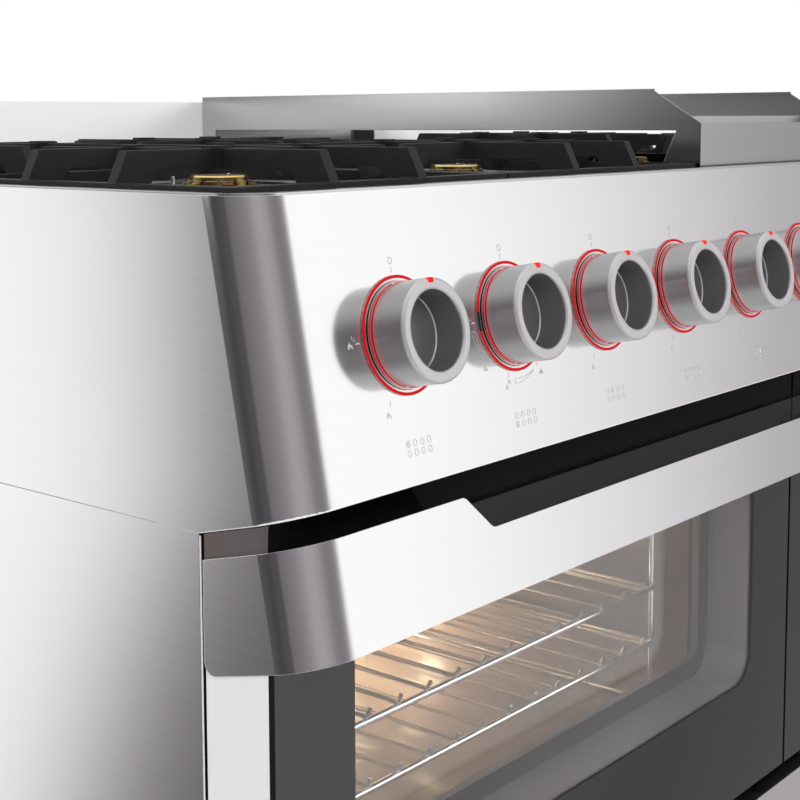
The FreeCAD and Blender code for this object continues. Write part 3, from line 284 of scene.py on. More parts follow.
# Chassis, back, heat shield and inner brackets: plain zinc plated steel, folded and spot welded.
# The zinc has its crystal pattern and a dull grey shine. The face behind the doors is enamelled black.
def zinc_plate(name, tone):
    material, paint, place = new_finish(name)
    crystals = paint.node("TexVoronoi", {}, {"Vector": place, "Scale": 90.0}, "Color").axes()[0]
    cloud = place.noise(14.0, 3.0)
    shade = (crystals * 0.3 + cloud * 0.7).blend(grey(tone * 0.8), grey(tone * 1.2))
    bump = paint.node("Bump", {}, {"Height": cloud, "Strength": 0.05, "Distance": 0.0005})
    show(paint, paint.node("BsdfPrincipled", {}, {
        "Base Color": shade, "Metallic": 1.0, "Roughness": crystals * 0.12 + 0.34, "Normal": bump}))
    return material


burner_numbers = range(1, 9)
zinc = zinc_plate("zinc_plated_steel", 0.5)
dress(zinc, "chassis_frame", "back_panel", "fan_covers_and_motors", "selector_and_terminal_box")
dress(zinc_plate("bright_zinc", 0.62), "fasteners", *["spindle_%d" % number for number in burner_numbers])


def enamel(name, colour, speck, roughness, coat):
    material, paint, place = new_finish(name)
    flow = place.noise(60.0, 4.0)
    tone = flow.blend(colour + (1,), speck + (1,))
    bump = paint.node("Bump", {}, {"Height": place.noise(420.0, 2.0), "Strength": 0.08, "Distance": 0.0003})
    show(paint, paint.node("BsdfPrincipled", {}, {
        "Base Color": tone, "Roughness": flow * 0.08 + roughness, "Coat Weight": coat,
        "Coat Roughness": 0.06, "Normal": bump}))
    return material


dress(enamel("black_enamel", (0.006, 0.006, 0.0065), (0.012, 0.011, 0.011), 0.12, 0.3), "front_frame")


# Fascia shell, handle bands, drawer, plinth and side panels: stainless steel sheet, brushed level round
# the range. The shading softens its folded edges. The side panels are painted dark inside their outer
# skin, as shade on their front flanges.
def stainless(name, tone, roughness, grain_up, grain_across, lines, skin=0.0):
    """Brushed sheet steel. Nearer to the middle than the skin, where one is given, it is painted dark as
    shade.
    """
    material, paint, place = new_finish(name)
    grain = place.noise(1.0, 4.0, (*grain_across, grain_up))
    cloud = place.noise(5.0, 2.0)
    colour = grain.blend(grey(tone * 0.965), (tone * 1.03, tone * 1.028, tone * 1.035, 1))
    if skin:
        # Painted shade: near black nearer to the middle than the skin.
        colour = abs(place.axes()[0]).above(skin, 0.0001).blend(grey(0.02), colour)
    edge = paint.node("Bevel", {"samples": 4}, {"Radius": 0.0006})
    bump = paint.node("Bump", {}, {"Height": grain, "Strength": lines, "Distance": 0.00004, "Normal": edge})
    show(paint, paint.node("BsdfPrincipled", {}, {
        "Base Color": colour, "Metallic": 1.0, "Roughness": grain * 0.05 + cloud * 0.03 + roughness,
        "Normal": bump}))
    return material


shell_steel = stainless("brushed_shell_steel", 0.8, 0.085, 1500.0, (6.0, 6.0), 0.14)
dress(shell_steel, "fascia_shell", "handle_band_left", "handle_band_right", "storage_drawer", "toe_plinth")
# Inside this the side panels are painted dark as shade on their front flanges.
panel_painted_shade_from = 0.5984
panel_steel = stainless("brushed_panel_steel", 0.8, 0.085, 1500.0, (6.0, 6.0), 0.14, panel_painted_shade_from)
dress(panel_steel, "side_panels")


def curve_shape(curve):
    """A bmesh of a curve or a text, which is then removed."""
    holder = bpy.data.objects.new("outline", curve)
    bpy.context.scene.collection.objects.link(holder)
    bpy.context.view_layer.update()
    flat = bpy.data.meshes.new_from_object(holder.evaluated_get(bpy.context.evaluated_depsgraph_get()))
    shape = bmesh.new()
    shape.from_mesh(flat)
    bpy.data.meshes.remove(flat)
    bpy.data.objects.remove(holder)
    return shape


def joined(shapes):
    """One bmesh from several."""
    whole = bmesh.new()
    for shape in shapes:
        part = bpy.data.meshes.new("part")
        shape.to_mesh(part)
        shape.free()
        whole.from_mesh(part)
        bpy.data.meshes.remove(part)
    return whole


def bead(points, radius):
    """A round bead along a path."""
    curve = bpy.data.curves.new("bead", "CURVE")
    curve.dimensions = "3D"
    curve.bevel_depth = radius
    curve.bevel_resolution = 3
    curve.use_fill_caps = True
    line = curve.splines.new("POLY")
    line.points.add(len(points) - 1)
    for knot, place in zip(line.points, points):
        knot.co = (*place, 1.0)
    return curve_shape(curve)


# Folded edges: thin rounded beads of polished steel, one along the fascia's lower lip from side to side
# round both corners, and one down the front edge of each side panel. They catch a bright line of light.
# Depths count from where the knobs' axes meet the fascia, which is depth_middle in front of the middle.
depth_middle = 0.343193
half_width = 0.6
body_front = 0.064
body_back = 0.706
seam_height = 0.692
knob_height = 0.807
front_slope = 0.2
lip_slope = 0.25998
corner_radius = 0.037
corner_steps = 12
bead_radius = 0.0008
bead_drop = 0.0002
thin_bead = 0.0006
thin_bead_low = 0.36
thin_bead_high = 0.69


def lip_point(side, corner_turn):
    """A place on the fascia's lower lip, where the turn goes from the side to the front."""
    # On the front, the lip runs where the sloping sheet crosses its line, and further back at the corner.
    low = (seam_height + body_front * lip_slope - knob_height) * front_slope
    y = (low + corner_radius * (1 - math.sin(corner_turn))) / (1 + lip_slope * front_slope)
    x = half_width - bead_radius - (corner_radius - bead_radius) * (1 - math.cos(corner_turn))
    return (side * x, y + bead_radius * math.sin(corner_turn) - depth_middle,
            seam_height + (body_front - y) * lip_slope + bead_drop)


side_x = half_width - bead_radius
corner_turns = [math.pi / 2 * step / corner_steps for step in range(corner_steps + 1)]
lip = [(-side_x, body_back - depth_middle, seam_height + bead_radius),
       (-side_x, body_front - depth_middle, seam_height + bead_drop)]
lip += [lip_point(-1, turn) for turn in corner_turns]
lip += [lip_point(1, turn) for turn in reversed(corner_turns)]
lip += [(side_x, body_front - depth_middle, seam_height + bead_drop),
        (side_x, body_back - depth_middle, seam_height + bead_radius)]
edges = [bead(lip, bead_radius)]
for side in (-1, 1):
    at = (side * (half_width - thin_bead), body_front - thin_bead - depth_middle)
    edges.append(bead([(*at, thin_bead_low), (*at, thin_bead_high)], thin_bead))

edge_steel, paint, place = new_finish("polished_edge_steel")
grain = place.noise(400.0, 2.0)
show(paint, paint.node("BsdfPrincipled", {}, {
    "Base Color": grain.blend(grey(0.9), grey(0.96)), "Metallic": 0.5, "Roughness": grain * 0.05 + 0.22}))
piece("folded_edges", joined(edges), edge_steel, "cabinet")


# Door frames: trays of satin steel. Their outer sides are duller than their faces. On the outer sides the
# strip over the handle band is painted darker as the shade of the fascia's lip, and browner towards the back.
outer_side_from = 0.594
band_notch_height = 0.672
tint_front = -0.3

frame_steel, paint, place = new_finish("satin_frame_steel")
sideways, backwards, level = place.axes()
grain = place.noise(1.0, 4.0, (6.0, 900.0, 6.0))
outer_side = abs(sideways).above(outer_side_from, 0.002)
# Painted shade: the outer sides above the handle band's notch.
painted_shade_above_band = outer_side * level.above(band_notch_height, 0.004)
# Turns the painted shade from grey at the front to brown towards the back.
shade_browning = grain * 0.3 + backwards.above(tint_front, 0.02) * 0.7
tone = outer_side.blend(grain.blend((0.15, 0.136, 0.144, 1), (0.215, 0.198, 0.208, 1)),
                        grain.blend(grey(0.8), grey(0.88)))
tone = painted_shade_above_band.blend(tone, shade_browning.blend((0.1, 0.092, 0.1, 1), (0.115, 0.085, 0.072, 1)))
bump = paint.node("Bump", {}, {"Height": grain, "Strength": 0.1, "Distance": 0.00005})
show(paint, paint.node("BsdfPrincipled", {}, {
    "Base Color": tone, "Metallic": 0.3, "Roughness": grain * 0.1 + 0.38, "Normal": bump}))
dress(frame_steel, "door_frame_left", "door_frame_right")


# Hob pan, griddle, upstand and feet: the same sheet with a grain that runs from front to back on the
# pan, level on the griddle, and a paler satin on the upstand behind the burners.
hob_steel = stainless("brushed_hob_steel", 0.62, 0.2, 6.0, (6.0, 1500.0), 0.25)
dress(hob_steel, "hob_pan", "griddle_plate")
griddle_steel = stainless("brushed_griddle_steel", 0.56, 0.14, 1100.0, (5.0, 5.0), 0.1)
dress(griddle_steel, "griddle_housing")
upstand_steel, paint, place = new_finish("satin_upstand_steel")
grain = place.noise(1.0, 4.0, (6.0, 6.0, 1500.0))
bump = paint.node("Bump", {}, {"Height": grain, "Strength": 0.1, "Distance": 0.00004})
show(paint, paint.node("BsdfPrincipled", {}, {
    "Base Color": grain.blend(grey(0.92), grey(0.97)), "Metallic": 0.08, "Roughness": grain * 0.05 + 0.42,
    "Normal": bump}))
dress(upstand_steel, "rear_upstand")
foot_steel = stainless("satin_foot_steel", 0.55, 0.26, 900.0, (30.0, 30.0), 0.4)
dress(foot_steel, "levelling_feet")


# Grates: grey iron cast in one piece over two burners, with a matt black enamel.
# The sand mould leaves a fine grain, and the enamel pools a little in it.
cast_iron, paint, place = new_finish("matt_black_cast_iron")
sand = place.noise(1100.0, 3.0)
pits = place.noise(240.0, 2.0)
soot = place.noise(18.0, 3.0)
edge = paint.node("Bevel", {"samples": 4}, {"Radius": 0.0015})
bump = paint.node("Bump", {}, {"Height": sand * 0.6 + pits * 0.4, "Strength": 0.85, "Distance": 0.0005,
                               "Normal": edge})
show(paint, paint.node("BsdfPrincipled", {}, {
    "Base Color": (sand.above(0.5, 0.18) * 0.6 + soot * 0.4).blend(grey(0.002), (0.022, 0.021, 0.022, 1)),
    "Roughness": sand * 0.25 + 0.42, "Specular IOR Level": 0.3, "Normal": bump}))
dress(cast_iron, "grate_left", "grate_middle", "grate_right")


# Burners: cast aluminium bases set in the pan, with turned brass crowns and caps that lift off.
# Each base also holds a white ceramic spark electrode and the thermocouple that watches the flame.
brass, paint, place = new_finish("turned_brass")
rings = place.noise(1.0, 2.0, (60.0, 60.0, 4200.0))
heat = place.noise(45.0, 3.0)
edge = paint.node("Bevel", {"samples": 4}, {"Radius": 0.0004})
bump = paint.node("Bump", {}, {"Height": rings, "Strength": 0.2, "Distance": 0.00005, "Normal": edge})
show(paint, paint.node("BsdfPrincipled", {}, {
    "Base Color": heat.blend((0.95, 0.72, 0.3, 1), (0.82, 0.58, 0.22, 1)), "Metallic": 1.0,
    "Roughness": heat * 0.12 + 0.14, "Normal": bump}))
dress(brass, *["burner_crown_%d" % number for number in burner_numbers])

cast_alloy, paint, place = new_finish("cast_burner_alloy")
skin = place.noise(700.0, 3.0)
bump = paint.node("Bump", {}, {"Height": skin, "Strength": 0.3, "Distance": 0.0002})
show(paint, paint.node("BsdfPrincipled", {}, {
    "Base Color": skin.blend(grey(0.2), grey(0.34)), "Metallic": 1.0, "Roughness": skin * 0.15 + 0.38,
    "Normal": bump}))
dress(cast_alloy, "burner_bases")

ceramic, paint, place = new_finish("white_ceramic")
glaze = place.noise(300.0, 2.0)
show(paint, paint.node("BsdfPrincipled", {}, {
    "Base Color": glaze.blend((0.72, 0.7, 0.66, 1), (0.82, 0.81, 0.78, 1)), "Roughness": glaze * 0.1 + 0.25,
    "Coat Weight": 0.4, "Coat Roughness": 0.1}))


def spun(profile, steps, around):
    """A closed turned shape from (radius, height) pairs, stood on the given matrix."""
    turned = bmesh.new()
    rim = [turned.verts.new((radius, 0, height)) for radius, height in profile]
    edges = [turned.edges.new(pair) for pair in zip(rim, rim[1:])]
    bmesh.ops.spin(turned, geom=rim + edges, cent=(0, 0, 0), axis=(0, 0, 1), angle=math.tau, steps=steps,
                   use_merge=True)
    bmesh.ops.remove_doubles(turned, verts=turned.verts, dist=1e-6)
    bmesh.ops.recalc_face_normals(turned, faces=turned.faces)
    for face in turned.faces:
        face.smooth = True
    turned.transform(around)
    return turned


electrode_reach = 0.0345
electrode_turn = 0.6
probe_turn = 2.5
base_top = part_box("burner_bases")[1].z
electrode_shape = [(0.0, 0.0), (0.0024, 0.0), (0.0024, 0.0052), (0.0018, 0.0062), (0.0018, 0.0082),
                   (0.0007, 0.0086), (0.0007, 0.0104), (0.0, 0.0106)]
probe_shape = [(0.0, 0.0), (0.0027, 0.0), (0.0027, 0.0024), (0.0015, 0.003), (0.0015, 0.0088),
               (0.0009, 0.0098), (0.0, 0.01)]
electrodes = []
probes = []
for number in burner_numbers:
    low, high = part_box("burner_crown_%d" % number)
    middle = (low + high) / 2
    for shapes, shape, turn in ((electrodes, electrode_shape, electrode_turn),
                                (probes, probe_shape, probe_turn)):
        at = Vector((middle.x + electrode_reach * math.cos(turn),
                     middle.y + electrode_reach * math.sin(turn), base_top))
        shapes.append(spun(shape, 20, Matrix.Translation(at)))
piece("spark_electrodes", joined(electrodes), ceramic, "cabinet")
piece("flame_probes", joined(probes), zinc, "cabinet")


# Gas rail, taps and supply pipes: drawn steel tube with a plated skin.
rail_skin, paint, place = new_finish("plated_tube")
drawn = place.noise(160.0, 3.0)
show(paint, paint.node("BsdfPrincipled", {}, {
    "Base Color": drawn.blend((0.4, 0.4, 0.41, 1), (0.5, 0.49, 0.47, 1)), "Metallic": 1.0,
    "Roughness": drawn * 0.15 + 0.28}))
dress(rail_skin, "gas_rail")


# Knobs: turned aluminium tubes with a rounded rim and a straight bore, blasted to a satin. They stand
# 5 mm off the fascia and turn with their spindles. The bore is painted darker as shade, with a painted
# highlight as a pale line round its floor, and a painted red glow from the ring's light on the foot.
slope = math.atan(front_slope)
knob_row = Vector((0.0, -depth_middle, knob_height))
knob_pitch = 0.12
middle_knob = 5
knob_numbers = range(1, 2 * middle_knob)
knob_places = [(number - middle_knob) * knob_pitch for number in knob_numbers]
panel_out = Vector((0, -math.cos(slope), math.sin(slope)))
panel_up = Vector((0, math.sin(slope), math.cos(slope)))


def on_panel(x):
    """The place of a knob: X to the right, Y up the fascia and Z out of it."""
    turned = Matrix((Vector((1, 0, 0)), panel_up, panel_out)).transposed().to_4x4()
    return Matrix.Translation(knob_row + Vector((x, 0, 0))) @ turned


def round_knob(place):
    """Place across, then right of, above and away from the nearest knob's axis, and off the fascia."""
    sideways, backwards, level = place.axes()
    right = sideways - (sideways / knob_pitch).math("ROUND") * knob_pitch
    above = (level - knob_row.z) * math.cos(slope) + (backwards - knob_row.y) * math.sin(slope)
    out = (level - knob_row.z) * math.sin(slope) - (backwards - knob_row.y) * math.cos(slope)
    return sideways, right, above, (right * right + above * above).math("SQRT"), out


knob_radius = 0.0339
knob_face = 0.0304
knob_foot = 0.005
bore_radius = 0.0257
bore_edge = 0.0006
bore_floor = 0.0083
rim_round = 0.0024
barrel_skin = 0.001
hair = 0.0001
foot_glow_middle = 0.0072
foot_glow_half = 0.0027
warm_red = (0.2, 0.004, 0.006, 1)

satin, paint, place = new_finish("satin_knob_metal")
reach, out = round_knob(place)[3:]
blast = place.noise(2600.0, 2.0)
lathe = out.noise(900.0, 2.0)
# Painted shade: the bore is darker and less metallic than the barrel.
bore = 1 - reach.above(bore_radius + bore_edge, 0.0004)
rim = out.above(knob_face - rim_round - hair, 0.0003) * (1 - bore)
# Painted highlight: a pale line round the bore's floor.
painted_bore_highlight = bore * reach.above(bore_radius - bore_edge, 0.0001) * (1 - out.above(bore_floor, 0.0002))
tone = lathe.blend(grey(0.47), (0.55, 0.545, 0.555, 1))
tone = bore.blend(tone, lathe.blend((0.16, 0.153, 0.158, 1), (0.2, 0.192, 0.197, 1)))
tone = rim.blend(tone, lathe.blend((0.5, 0.487, 0.495, 1), (0.57, 0.555, 0.565, 1)))
tone = painted_bore_highlight.blend(tone, grey(0.5))
# Painted glow: the foot and the lowest part of the barrel glow red, as if lit by the ring.
painted_red_glow = (1 - out.above(foot_glow_middle, foot_glow_half)) * reach.above(knob_radius - barrel_skin, 0.0003)
painted_red_glow = painted_red_glow.math("MAXIMUM", 1 - out.above(knob_foot + hair, 0.00005))
bump = paint.node("Bump", {}, {"Height": blast * 0.6 + lathe * 0.4, "Strength": 0.22, "Distance": 0.00006})
show(paint, paint.node("BsdfPrincipled", {}, {
    "Base Color": tone, "Metallic": 1 - bore * 0.45 - rim * 0.3,
    "Roughness": blast * 0.08 + rim * 0.1 + 0.25, "Normal": bump,
    "Emission Color": painted_red_glow.blend(grey(0), warm_red), "Emission Strength": 1.0}))
dress(satin, *["knob_%d" % number for number in knob_numbers])


# Knob indexes: a red enamel patch over the outer half of each rim at 12 o'clock, narrower inwards, with a
# faint painted red glow.
index_lift = 0.00012
index_inner = 0.0302
index_half_turn = math.radians(6.0)
index_inner_share = 0.68
rim_steps = 8


def rim_arc(lift):
    """The outer half of the rounded rim, from the barrel to the flat, lifted off the knob by a hair."""
    arc = []
    for step in range(2, rim_steps + 1):
        turn = math.pi / 2 * step / rim_steps
        arc.append((knob_radius - rim_round + (rim_round + lift) * math.cos(turn),
                    knob_face - rim_round + (rim_round + lift) * math.sin(turn)))
    return arc + [(index_inner, knob_face + lift)]


index_red, paint, place = new_finish("red_index_enamel")
fill = place.noise(900.0, 2.0)
# The emission is a painted glow on the enamel.
show(paint, paint.node("BsdfPrincipled", {}, {
    "Base Color": fill.blend((0.6, 0.002, 0.003, 1), (0.68, 0.004, 0.005, 1)), "Roughness": fill * 0.1 + 0.3,
    "Specular IOR Level": 0.12, "Emission Color": (0.25, 0.001, 0.001, 1), "Emission Strength": 1.0}))

for number, x in enumerate(knob_places, 1):
    patch = bmesh.new()
    line = [patch.verts.new((-radius * math.sin(index_half_turn), radius * math.cos(index_half_turn), high))
            for radius, high in rim_arc(index_lift)]
    edges = [patch.edges.new(pair) for pair in zip(line, line[1:])]
    bmesh.ops.spin(patch, geom=line + edges, cent=(0, 0, 0), axis=(0, 0, 1), angle=-2 * index_half_turn,
                   steps=6)
    bmesh.ops.recalc_face_normals(patch, faces=patch.faces)
    for vertex in patch.verts:
        outwards = (math.hypot(vertex.co.x, vertex.co.y) - index_inner) / (knob_radius - index_inner)
        vertex.co.x *= index_inner_share + (1 - index_inner_share) * outwards
    for face in patch.faces:
        face.smooth = True
        if face.normal.z < 0:
            face.normal_flip()
    patch.transform(on_panel(x))
    piece("knob_index_%d" % number, patch, index_red, "knob_body_%d" % number)


# Light rings: clear red guides let into the fascia round each knob, lit from behind, with a darker
# thread in the red. A steel collar stands inside each one round the knob's foot. Its foot is painted
# black as the shadow of the gap under the knob, and its top has a painted red glow from the ring.
# The second ring's red has a gap on its left.
collar_radius = 0.0353
collar_shows_from = 0.0019
gap_shadow_radius = 0.0354
red_inner_radius = 0.0368
thread_radius = 0.0378
thread_half = 0.00022
red_outer_radius = 0.03875
guide_top = 0.0009
gap_drop = 0.0002
gap_half_height = 0.0068
collar_warm_from = 0.0034
second_knob = knob_places[1]

ring_light, paint, place = new_finish("lit_red_ring")
sideways, right, above, reach, out = round_knob(place)
collar = (1 - reach.above(collar_radius, 0.00005)) * out.above(collar_shows_from, 0.0002)
# Painted shadow: the collar's foot is black, standing for the shadow of the gap under the knob.
painted_gap_shadow = (1 - reach.above(gap_shadow_radius, 0.0001)) * (1 - collar)
red = reach.above(red_inner_radius, 0.0001) * out.above(guide_top, 0.0001)
thread = 1 - abs(reach - thread_radius).above(thread_half, 0.00012)
rim_line = reach.above(red_outer_radius, 0.0001)
other_rings = abs(sideways - second_knob).above(knob_pitch / 2, 0.001)
past_gap = abs(above + gap_drop).above(gap_half_height, 0.0003).math("MAXIMUM", right.above(0.0, 0.002))
lit = red * past_gap.math("MAXIMUM", other_rings)
colour = thread.blend((0.66, 0.004, 0.005, 1), (0.26, 0.001, 0.002, 1))
colour = rim_line.blend(colour, (0.22, 0.001, 0.002, 1))
guide = paint.node("BsdfPrincipled", {}, {
    "Base Color": (0.12, 0.001, 0.002, 1), "Roughness": 0.3, "Specular IOR Level": 0.08,
    "Emission Color": colour, "Emission Strength": 1.0})
tone = red.blend(grey(0.8), grey(0.1))
tone = collar.blend(tone, grey(0.5))
tone = painted_gap_shadow.blend(tone, grey(0.01))
outer_wall = reach.above(red_outer_radius + hair, 0.0001) * (1 - out.above(guide_top, 0.0001))
tone = outer_wall.blend(tone, grey(0.35))
# Painted glow: the collar's upper part glows red, as if lit by the ring.
painted_red_glow = collar * out.above(collar_warm_from, 0.0009)
seat = paint.node("BsdfPrincipled", {}, {
    "Base Color": tone, "Metallic": 1.0, "Roughness": 0.26,
    "Emission Color": painted_red_glow.blend(grey(0), warm_red), "Emission Strength": 1.0})
show(paint, paint.node("MixShader", {}, {0: lit, 1: seat, 2: guide}))
dress(ring_light, "knob_light_rings")


# Fascia marks: pale grey ink on the steel, hair thin. Each gas knob has a nought and a tick at the top,
# a flame with a spark at the left, a small flame lower down, and under it a map of the eight burners
# with its own one filled. The second knob has two more flames and two wedges. The oven knob has degrees.
ink, paint, place = new_finish("pale_mark_ink")
dots = place.noise(1500.0, 2.0)
show(paint, paint.node("BsdfPrincipled", {}, {
    "Base Color": dots.blend((0.44, 0.43, 0.44, 1), (0.54, 0.53, 0.54, 1)), "Roughness": dots * 0.2 + 0.6}))

# Sizes and places of the marks are in millimetres from the knob's axis, right and up the fascia.
# A wedge is given by its first and last angle below the left, its inner radius and its two outer radii.
ink_height = 0.00008
nought_place = (-0.6, 48.5)
nought_size = (4.2, 5.0)
top_tick = ((-0.6, 40.6), (-0.6, 44.4))
left_tick = ((-45.8, -0.5), (-41.7, -0.5))
left_flame = (-50.6, -0.9)
spark_place = (-49.4, 0.6)
spark_inner = 2.0
spark_outer = 4.4
low_tick = ((-21.1, -38.9), (-22.1, -43.1))
low_flame = (-24.4, -48.1)
flame_size = 4.6
left_tick_line = 0.9
bold_line = 0.62
map_line = 0.55
thin_line = 0.5
fine_line = 0.4
map_corner = (-10.3, -69.0)
map_pitch = (7.1, 6.1)
zone_size = (3.9, 4.7)
second_wedges = ((8, 32, 44.1, 47.4, 46.2), (83, 113.5, 44.0, 47.7, 44.6))
second_ticks = (((-30.4, -27.2), (-32.7, -28.9)), ((-12.6, -38.8), (-13.0, -41.6)),
                ((22.5, -35.8), (23.4, -37.8)))
second_flames = (((-37.4, -32.4), 4.2), ((-12.6, -44.6), 4.0), ((-15.6, -48.2), 4.0), ((27.2, -42.6), 4.2))
degree_ticks = (41.5, 44.0)
degree_text = (50.5, 49.0)
degree_height = 5.2
degree_start = 45
degree_step = 50
oval_segments = 28
wedge_steps = 8
metres = 0.001
mark_shapes = []


def outline(points):
    """A flat inked shape from the points of its outline."""
    shape = bmesh.new()
    corners = [shape.verts.new((x * metres, y * metres, ink_height)) for x, y in points]
    shape.faces.new(corners)
    return shape


def stroke(start, end, width):
    start = Vector(start)
    end = Vector(end)
    along = (end - start).normalized() * width / 2
    side = Vector((-along.y, along.x))
    return outline([start + side, start - side, end - side, end + side])


def oval(middle, size, line=0.0):
    """A filled oval, or an open one with a line of the given width."""
    wide, tall = size
    shape = bmesh.new()
    bmesh.ops.create_circle(shape, cap_ends=True, segments=oval_segments, radius=1.0)
    if line:
        bmesh.ops.inset_region(shape, faces=shape.faces[:], thickness=line / (wide + tall) * 4,
                               use_boundary=True, use_even_offset=True)
        hole = [face for face in shape.faces if len(face.verts) > 4]
        bmesh.ops.delete(shape, geom=hole, context="FACES")
    shape.transform(Matrix.Translation((middle[0] * metres, middle[1] * metres, ink_height))
                    @ Matrix.Diagonal((wide / 2 * metres, tall / 2 * metres, 1, 1)))
    return shape


def flame(middle, size):
    """A two tongued flame: the left tongue tall, the right one low, with the bottom open."""
    shares = [(-0.5, -0.5), (-0.52, -0.1), (-0.36, 0.2), (-0.1, 0.5), (-0.06, 0.22), (0.1, 0.02),
              (0.2, 0.18), (0.42, -0.08), (0.5, -0.5), (0.26, -0.5), (0.22, -0.2), (0.02, -0.34),
              (-0.16, -0.08), (-0.26, -0.5)]
    return outline([(middle[0] + x * size, middle[1] + y * size) for x, y in shares])


def clock(radius, degrees, middle=(0, 0)):
    """A place at a radius round a middle, in degrees counter-clockwise from the right."""
    turn = math.radians(degrees)
    return (middle[0] + radius * math.cos(turn), middle[1] + radius * math.sin(turn))


def wedge(start, end, inner, outer_start, outer_end):
    """An open wedge along an arc, as strokes from one angle to another, in degrees below the left."""
    strokes = []

    def at(radius, share):
        return clock(radius, 180 + start + (end - start) * share)

    for step in range(wedge_steps):
        near = step / wedge_steps
        far = (step + 1) / wedge_steps
        strokes.append(stroke(at(inner, near), at(inner, far), fine_line))
        strokes.append(stroke(at(outer_start + (outer_end - outer_start) * near, near),
                              at(outer_start + (outer_end - outer_start) * far, far), fine_line))
    strokes.append(stroke(at(inner, 0), at(outer_start, 0), fine_line))
    strokes.append(stroke(at(inner, 1), at(outer_end, 1), fine_line))
    return strokes


def number_text(text, middle, size):
    curve = bpy.data.curves.new("degrees", "FONT")
    curve.body = text
    curve.size = size * metres
    curve.align_x = "CENTER"
    curve.align_y = "CENTER"
    shape = curve_shape(curve)
    shape.transform(Matrix.Translation((middle[0] * metres, middle[1] * metres, ink_height)))
    return shape


def placed(shapes, x):
    for shape in shapes:
        shape.transform(on_panel(x))
    return shapes


for number, x in enumerate(knob_places, 1):
    marks = [oval(nought_place, nought_size, bold_line), stroke(*top_tick, bold_line)]
    if number in burner_numbers:
        marks += [stroke(*left_tick, left_tick_line), flame(left_flame, flame_size)]
        for angle in (15, 45, 75):
            marks.append(stroke(clock(spark_inner, angle, spark_place),
                                clock(spark_outer, angle, spark_place), fine_line))
        for zone in burner_numbers:
            column, row = divmod(zone - 1, 2)
            spot = (map_corner[0] + column * map_pitch[0], map_corner[1] - row * map_pitch[1])
            marks.append(oval(spot, zone_size, 0.0 if zone == number else map_line))
    if number == 2:
        for sizes in second_wedges:
            marks += wedge(*sizes)
        marks += [stroke(*ends, thin_line) for ends in second_ticks]
        marks += [flame(spot, size) for spot, size in second_flames]
    elif number in burner_numbers:
        marks += [stroke(*low_tick, map_line), flame(low_flame, flame_size)]
    else:
        for step, text in enumerate(("50", "100", "150", "200", "250")):
            angle = degree_start - step * degree_step
            marks.append(stroke(clock(degree_ticks[0], angle), clock(degree_ticks[1], angle), thin_line))
            turn = math.radians(angle)
            spot = (degree_text[0] * math.cos(turn), degree_text[1] * math.sin(turn))
            marks.append(number_text(text, spot, degree_height))
    mark_shapes += placed(marks, x)
printed = joined(mark_shapes)
for face in printed.faces:
    if face.normal.dot(panel_out) < 0:
        face.normal_flip()
piece("fascia_marks", printed, ink, "cabinet")


# Door glass: a toughened front pane, enamelled black from behind all round its clear window, and an
# inner pane that mirrors a little. Its top strip, behind the handle band, is painted as shade: matt,
# near black and with almost no reflection, darkest at the very top.
window_middle_height = 0.5415
window_half_height = 0.1135
window_corner = 0.028
left_window = (-0.24745, 0.27805)
right_window = (0.35305, 0.17245)
front_pane_back = 0.02
painted_shade_from = 0.652
deepest_shade_from = 0.6804

door_glass, paint, place = new_finish("dark_door_glass")
sideways, backwards, level = place.axes()


def outside_window(middle, window_half_width):
    past = (abs(sideways - middle) - (window_half_width - window_corner)).math("MAXIMUM", 0.0)
    over = (abs(level - window_middle_height) - (window_half_height - window_corner)).math("MAXIMUM", 0.0)
    return (past * past + over * over).math("SQRT").above(window_corner, 0.0002)


front_pane = 1 - backwards.above(front_pane_back - depth_middle, 0.002)
border = outside_window(*left_window) * outside_window(*right_window) * front_pane
printed_dots = place.noise(400.0, 2.0)
printed_black = printed_dots.blend((0.004, 0.004, 0.0042, 1), (0.008, 0.0078, 0.008, 1))
black_glass = paint.node("BsdfPrincipled", {}, {"Base Color": printed_black, "Roughness": 0.03, "IOR": 1.52})
# Painted shade: the top strip behind the handle band is near black and darkest at the top.
deepest_painted_shade = level.above(deepest_shade_from, 0.0004)
painted_shade_tone = deepest_painted_shade.blend((0.036, 0.0345, 0.036, 1), (0.003, 0.0028, 0.003, 1))
painted_shade_top = paint.node("BsdfPrincipled", {}, {
    "Base Color": (printed_dots * 0.2).blend(painted_shade_tone, (0.01, 0.0095, 0.01, 1)), "Roughness": 0.12,
    "Specular IOR Level": 0.02})
black_glass = paint.node("MixShader", {}, {0: level.above(painted_shade_from, 0.001), 1: black_glass, 2: painted_shade_top})
clear_glass = paint.node("BsdfPrincipled", {}, {
    "Base Color": (0.9, 0.9, 0.9, 1), "Roughness": 0.0, "IOR": 1.33, "Transmission Weight": 1.0})
show(paint, paint.node("MixShader", {}, {0: border, 1: clear_glass, 2: black_glass}))
dress(door_glass, "door_glass_left", "door_glass_right")


# Door seals: a woven glass fibre cord round each oven's mouth.
seal, paint, place = new_finish("woven_door_seal")
weave = place.noise(1400.0, 2.0)
bump = paint.node("Bump", {}, {"Height": weave, "Strength": 0.6, "Distance": 0.0004})
show(paint, paint.node("BsdfPrincipled", {}, {
    "Base Color": weave.blend(grey(0.02), grey(0.06)), "Roughness": weave * 0.2 + 0.7, "Normal": bump}))
dress(seal, "door_gaskets")


# Ovens: pressed steel cavities with a warm grey enamel, chromed wire racks and guides, a bare element
# under the roof, a lamp and mineral wool round the outside. Small warm lights spread each lamp's glow.
dress(enamel("warm_grey_enamel", (0.165, 0.128, 0.108), (0.225, 0.183, 0.158), 0.16, 0.6), "oven_liners")

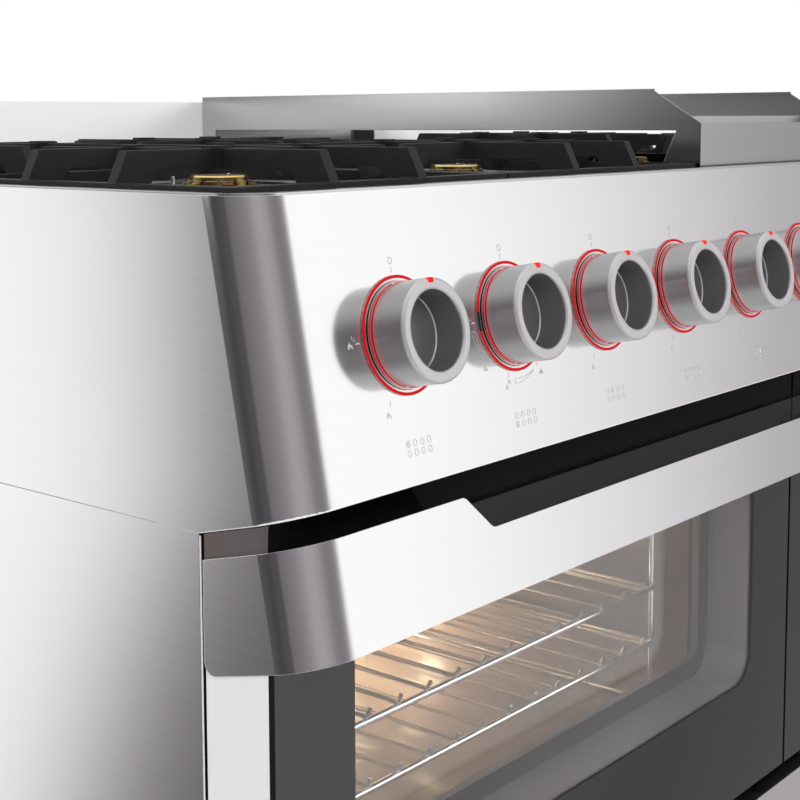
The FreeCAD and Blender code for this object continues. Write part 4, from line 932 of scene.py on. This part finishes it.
chrome, paint, place = new_finish("chromed_wire")
tint = place.noise(80.0, 2.0)
show(paint, paint.node("BsdfPrincipled", {}, {
    "Base Color": tint.blend(grey(0.72), (0.84, 0.83, 0.8, 1)), "Metallic": 1.0,
    "Roughness": tint * 0.08 + 0.1}))
dress(chrome, "oven_racks")

fan_steel = zinc_plate("fan_steel", 0.58)
dress(fan_steel, "oven_fan_left", "oven_fan_right")

scaled, paint, place = new_finish("oxidised_element_tube")
scale_skin = place.noise(500.0, 3.0)
bump = paint.node("Bump", {}, {"Height": scale_skin, "Strength": 0.3, "Distance": 0.0002})
show(paint, paint.node("BsdfPrincipled", {}, {
    "Base Color": scale_skin.blend((0.05, 0.045, 0.042, 1), (0.12, 0.1, 0.09, 1)), "Metallic": 0.4,
    "Roughness": scale_skin * 0.2 + 0.45, "Normal": bump}))
dress(scaled, "oven_elements")

wool, paint, place = new_finish("mineral_wool")
fibres = place.noise(1.0, 5.0, (300.0, 900.0, 300.0))
bump = paint.node("Bump", {}, {"Height": fibres, "Strength": 0.8, "Distance": 0.001})
show(paint, paint.node("BsdfPrincipled", {}, {
    "Base Color": fibres.blend((0.5, 0.45, 0.32, 1), (0.74, 0.69, 0.54, 1)), "Roughness": 0.95,
    "Normal": bump}))
dress(wool, "oven_insulation")

lens, paint, place = new_finish("lit_lamp_lens")
frost = place.noise(300.0, 2.0)
show(paint, paint.node("BsdfPrincipled", {}, {
    "Base Color": (1.0, 0.9, 0.7, 1), "Roughness": frost * 0.1 + 0.1,
    "Emission Color": frost.blend((1.0, 0.72, 0.38, 1), (1.0, 0.8, 0.5, 1)), "Emission Strength": 6.0}))
dress(lens, "oven_lamps")

for name, place, power in (("oven_glow_left_high", (-0.4, 0.08, 0.628), 1.6),
                           ("oven_glow_left_low", (-0.06, 0.09, 0.42), 2.8),
                           ("oven_glow_right_high", (0.28, 0.08, 0.628), 1.4),
                           ("oven_glow_right_low", (0.43, 0.09, 0.42), 1.8)):
    glow = bpy.data.objects.new(name, bpy.data.lights.new(name, "POINT"))
    glow.data.energy = power
    glow.data.color = (1.0, 0.78, 0.5)
    glow.data.shadow_soft_size = 0.015
    glow.location = place
    bpy.context.scene.collection.objects.link(glow)
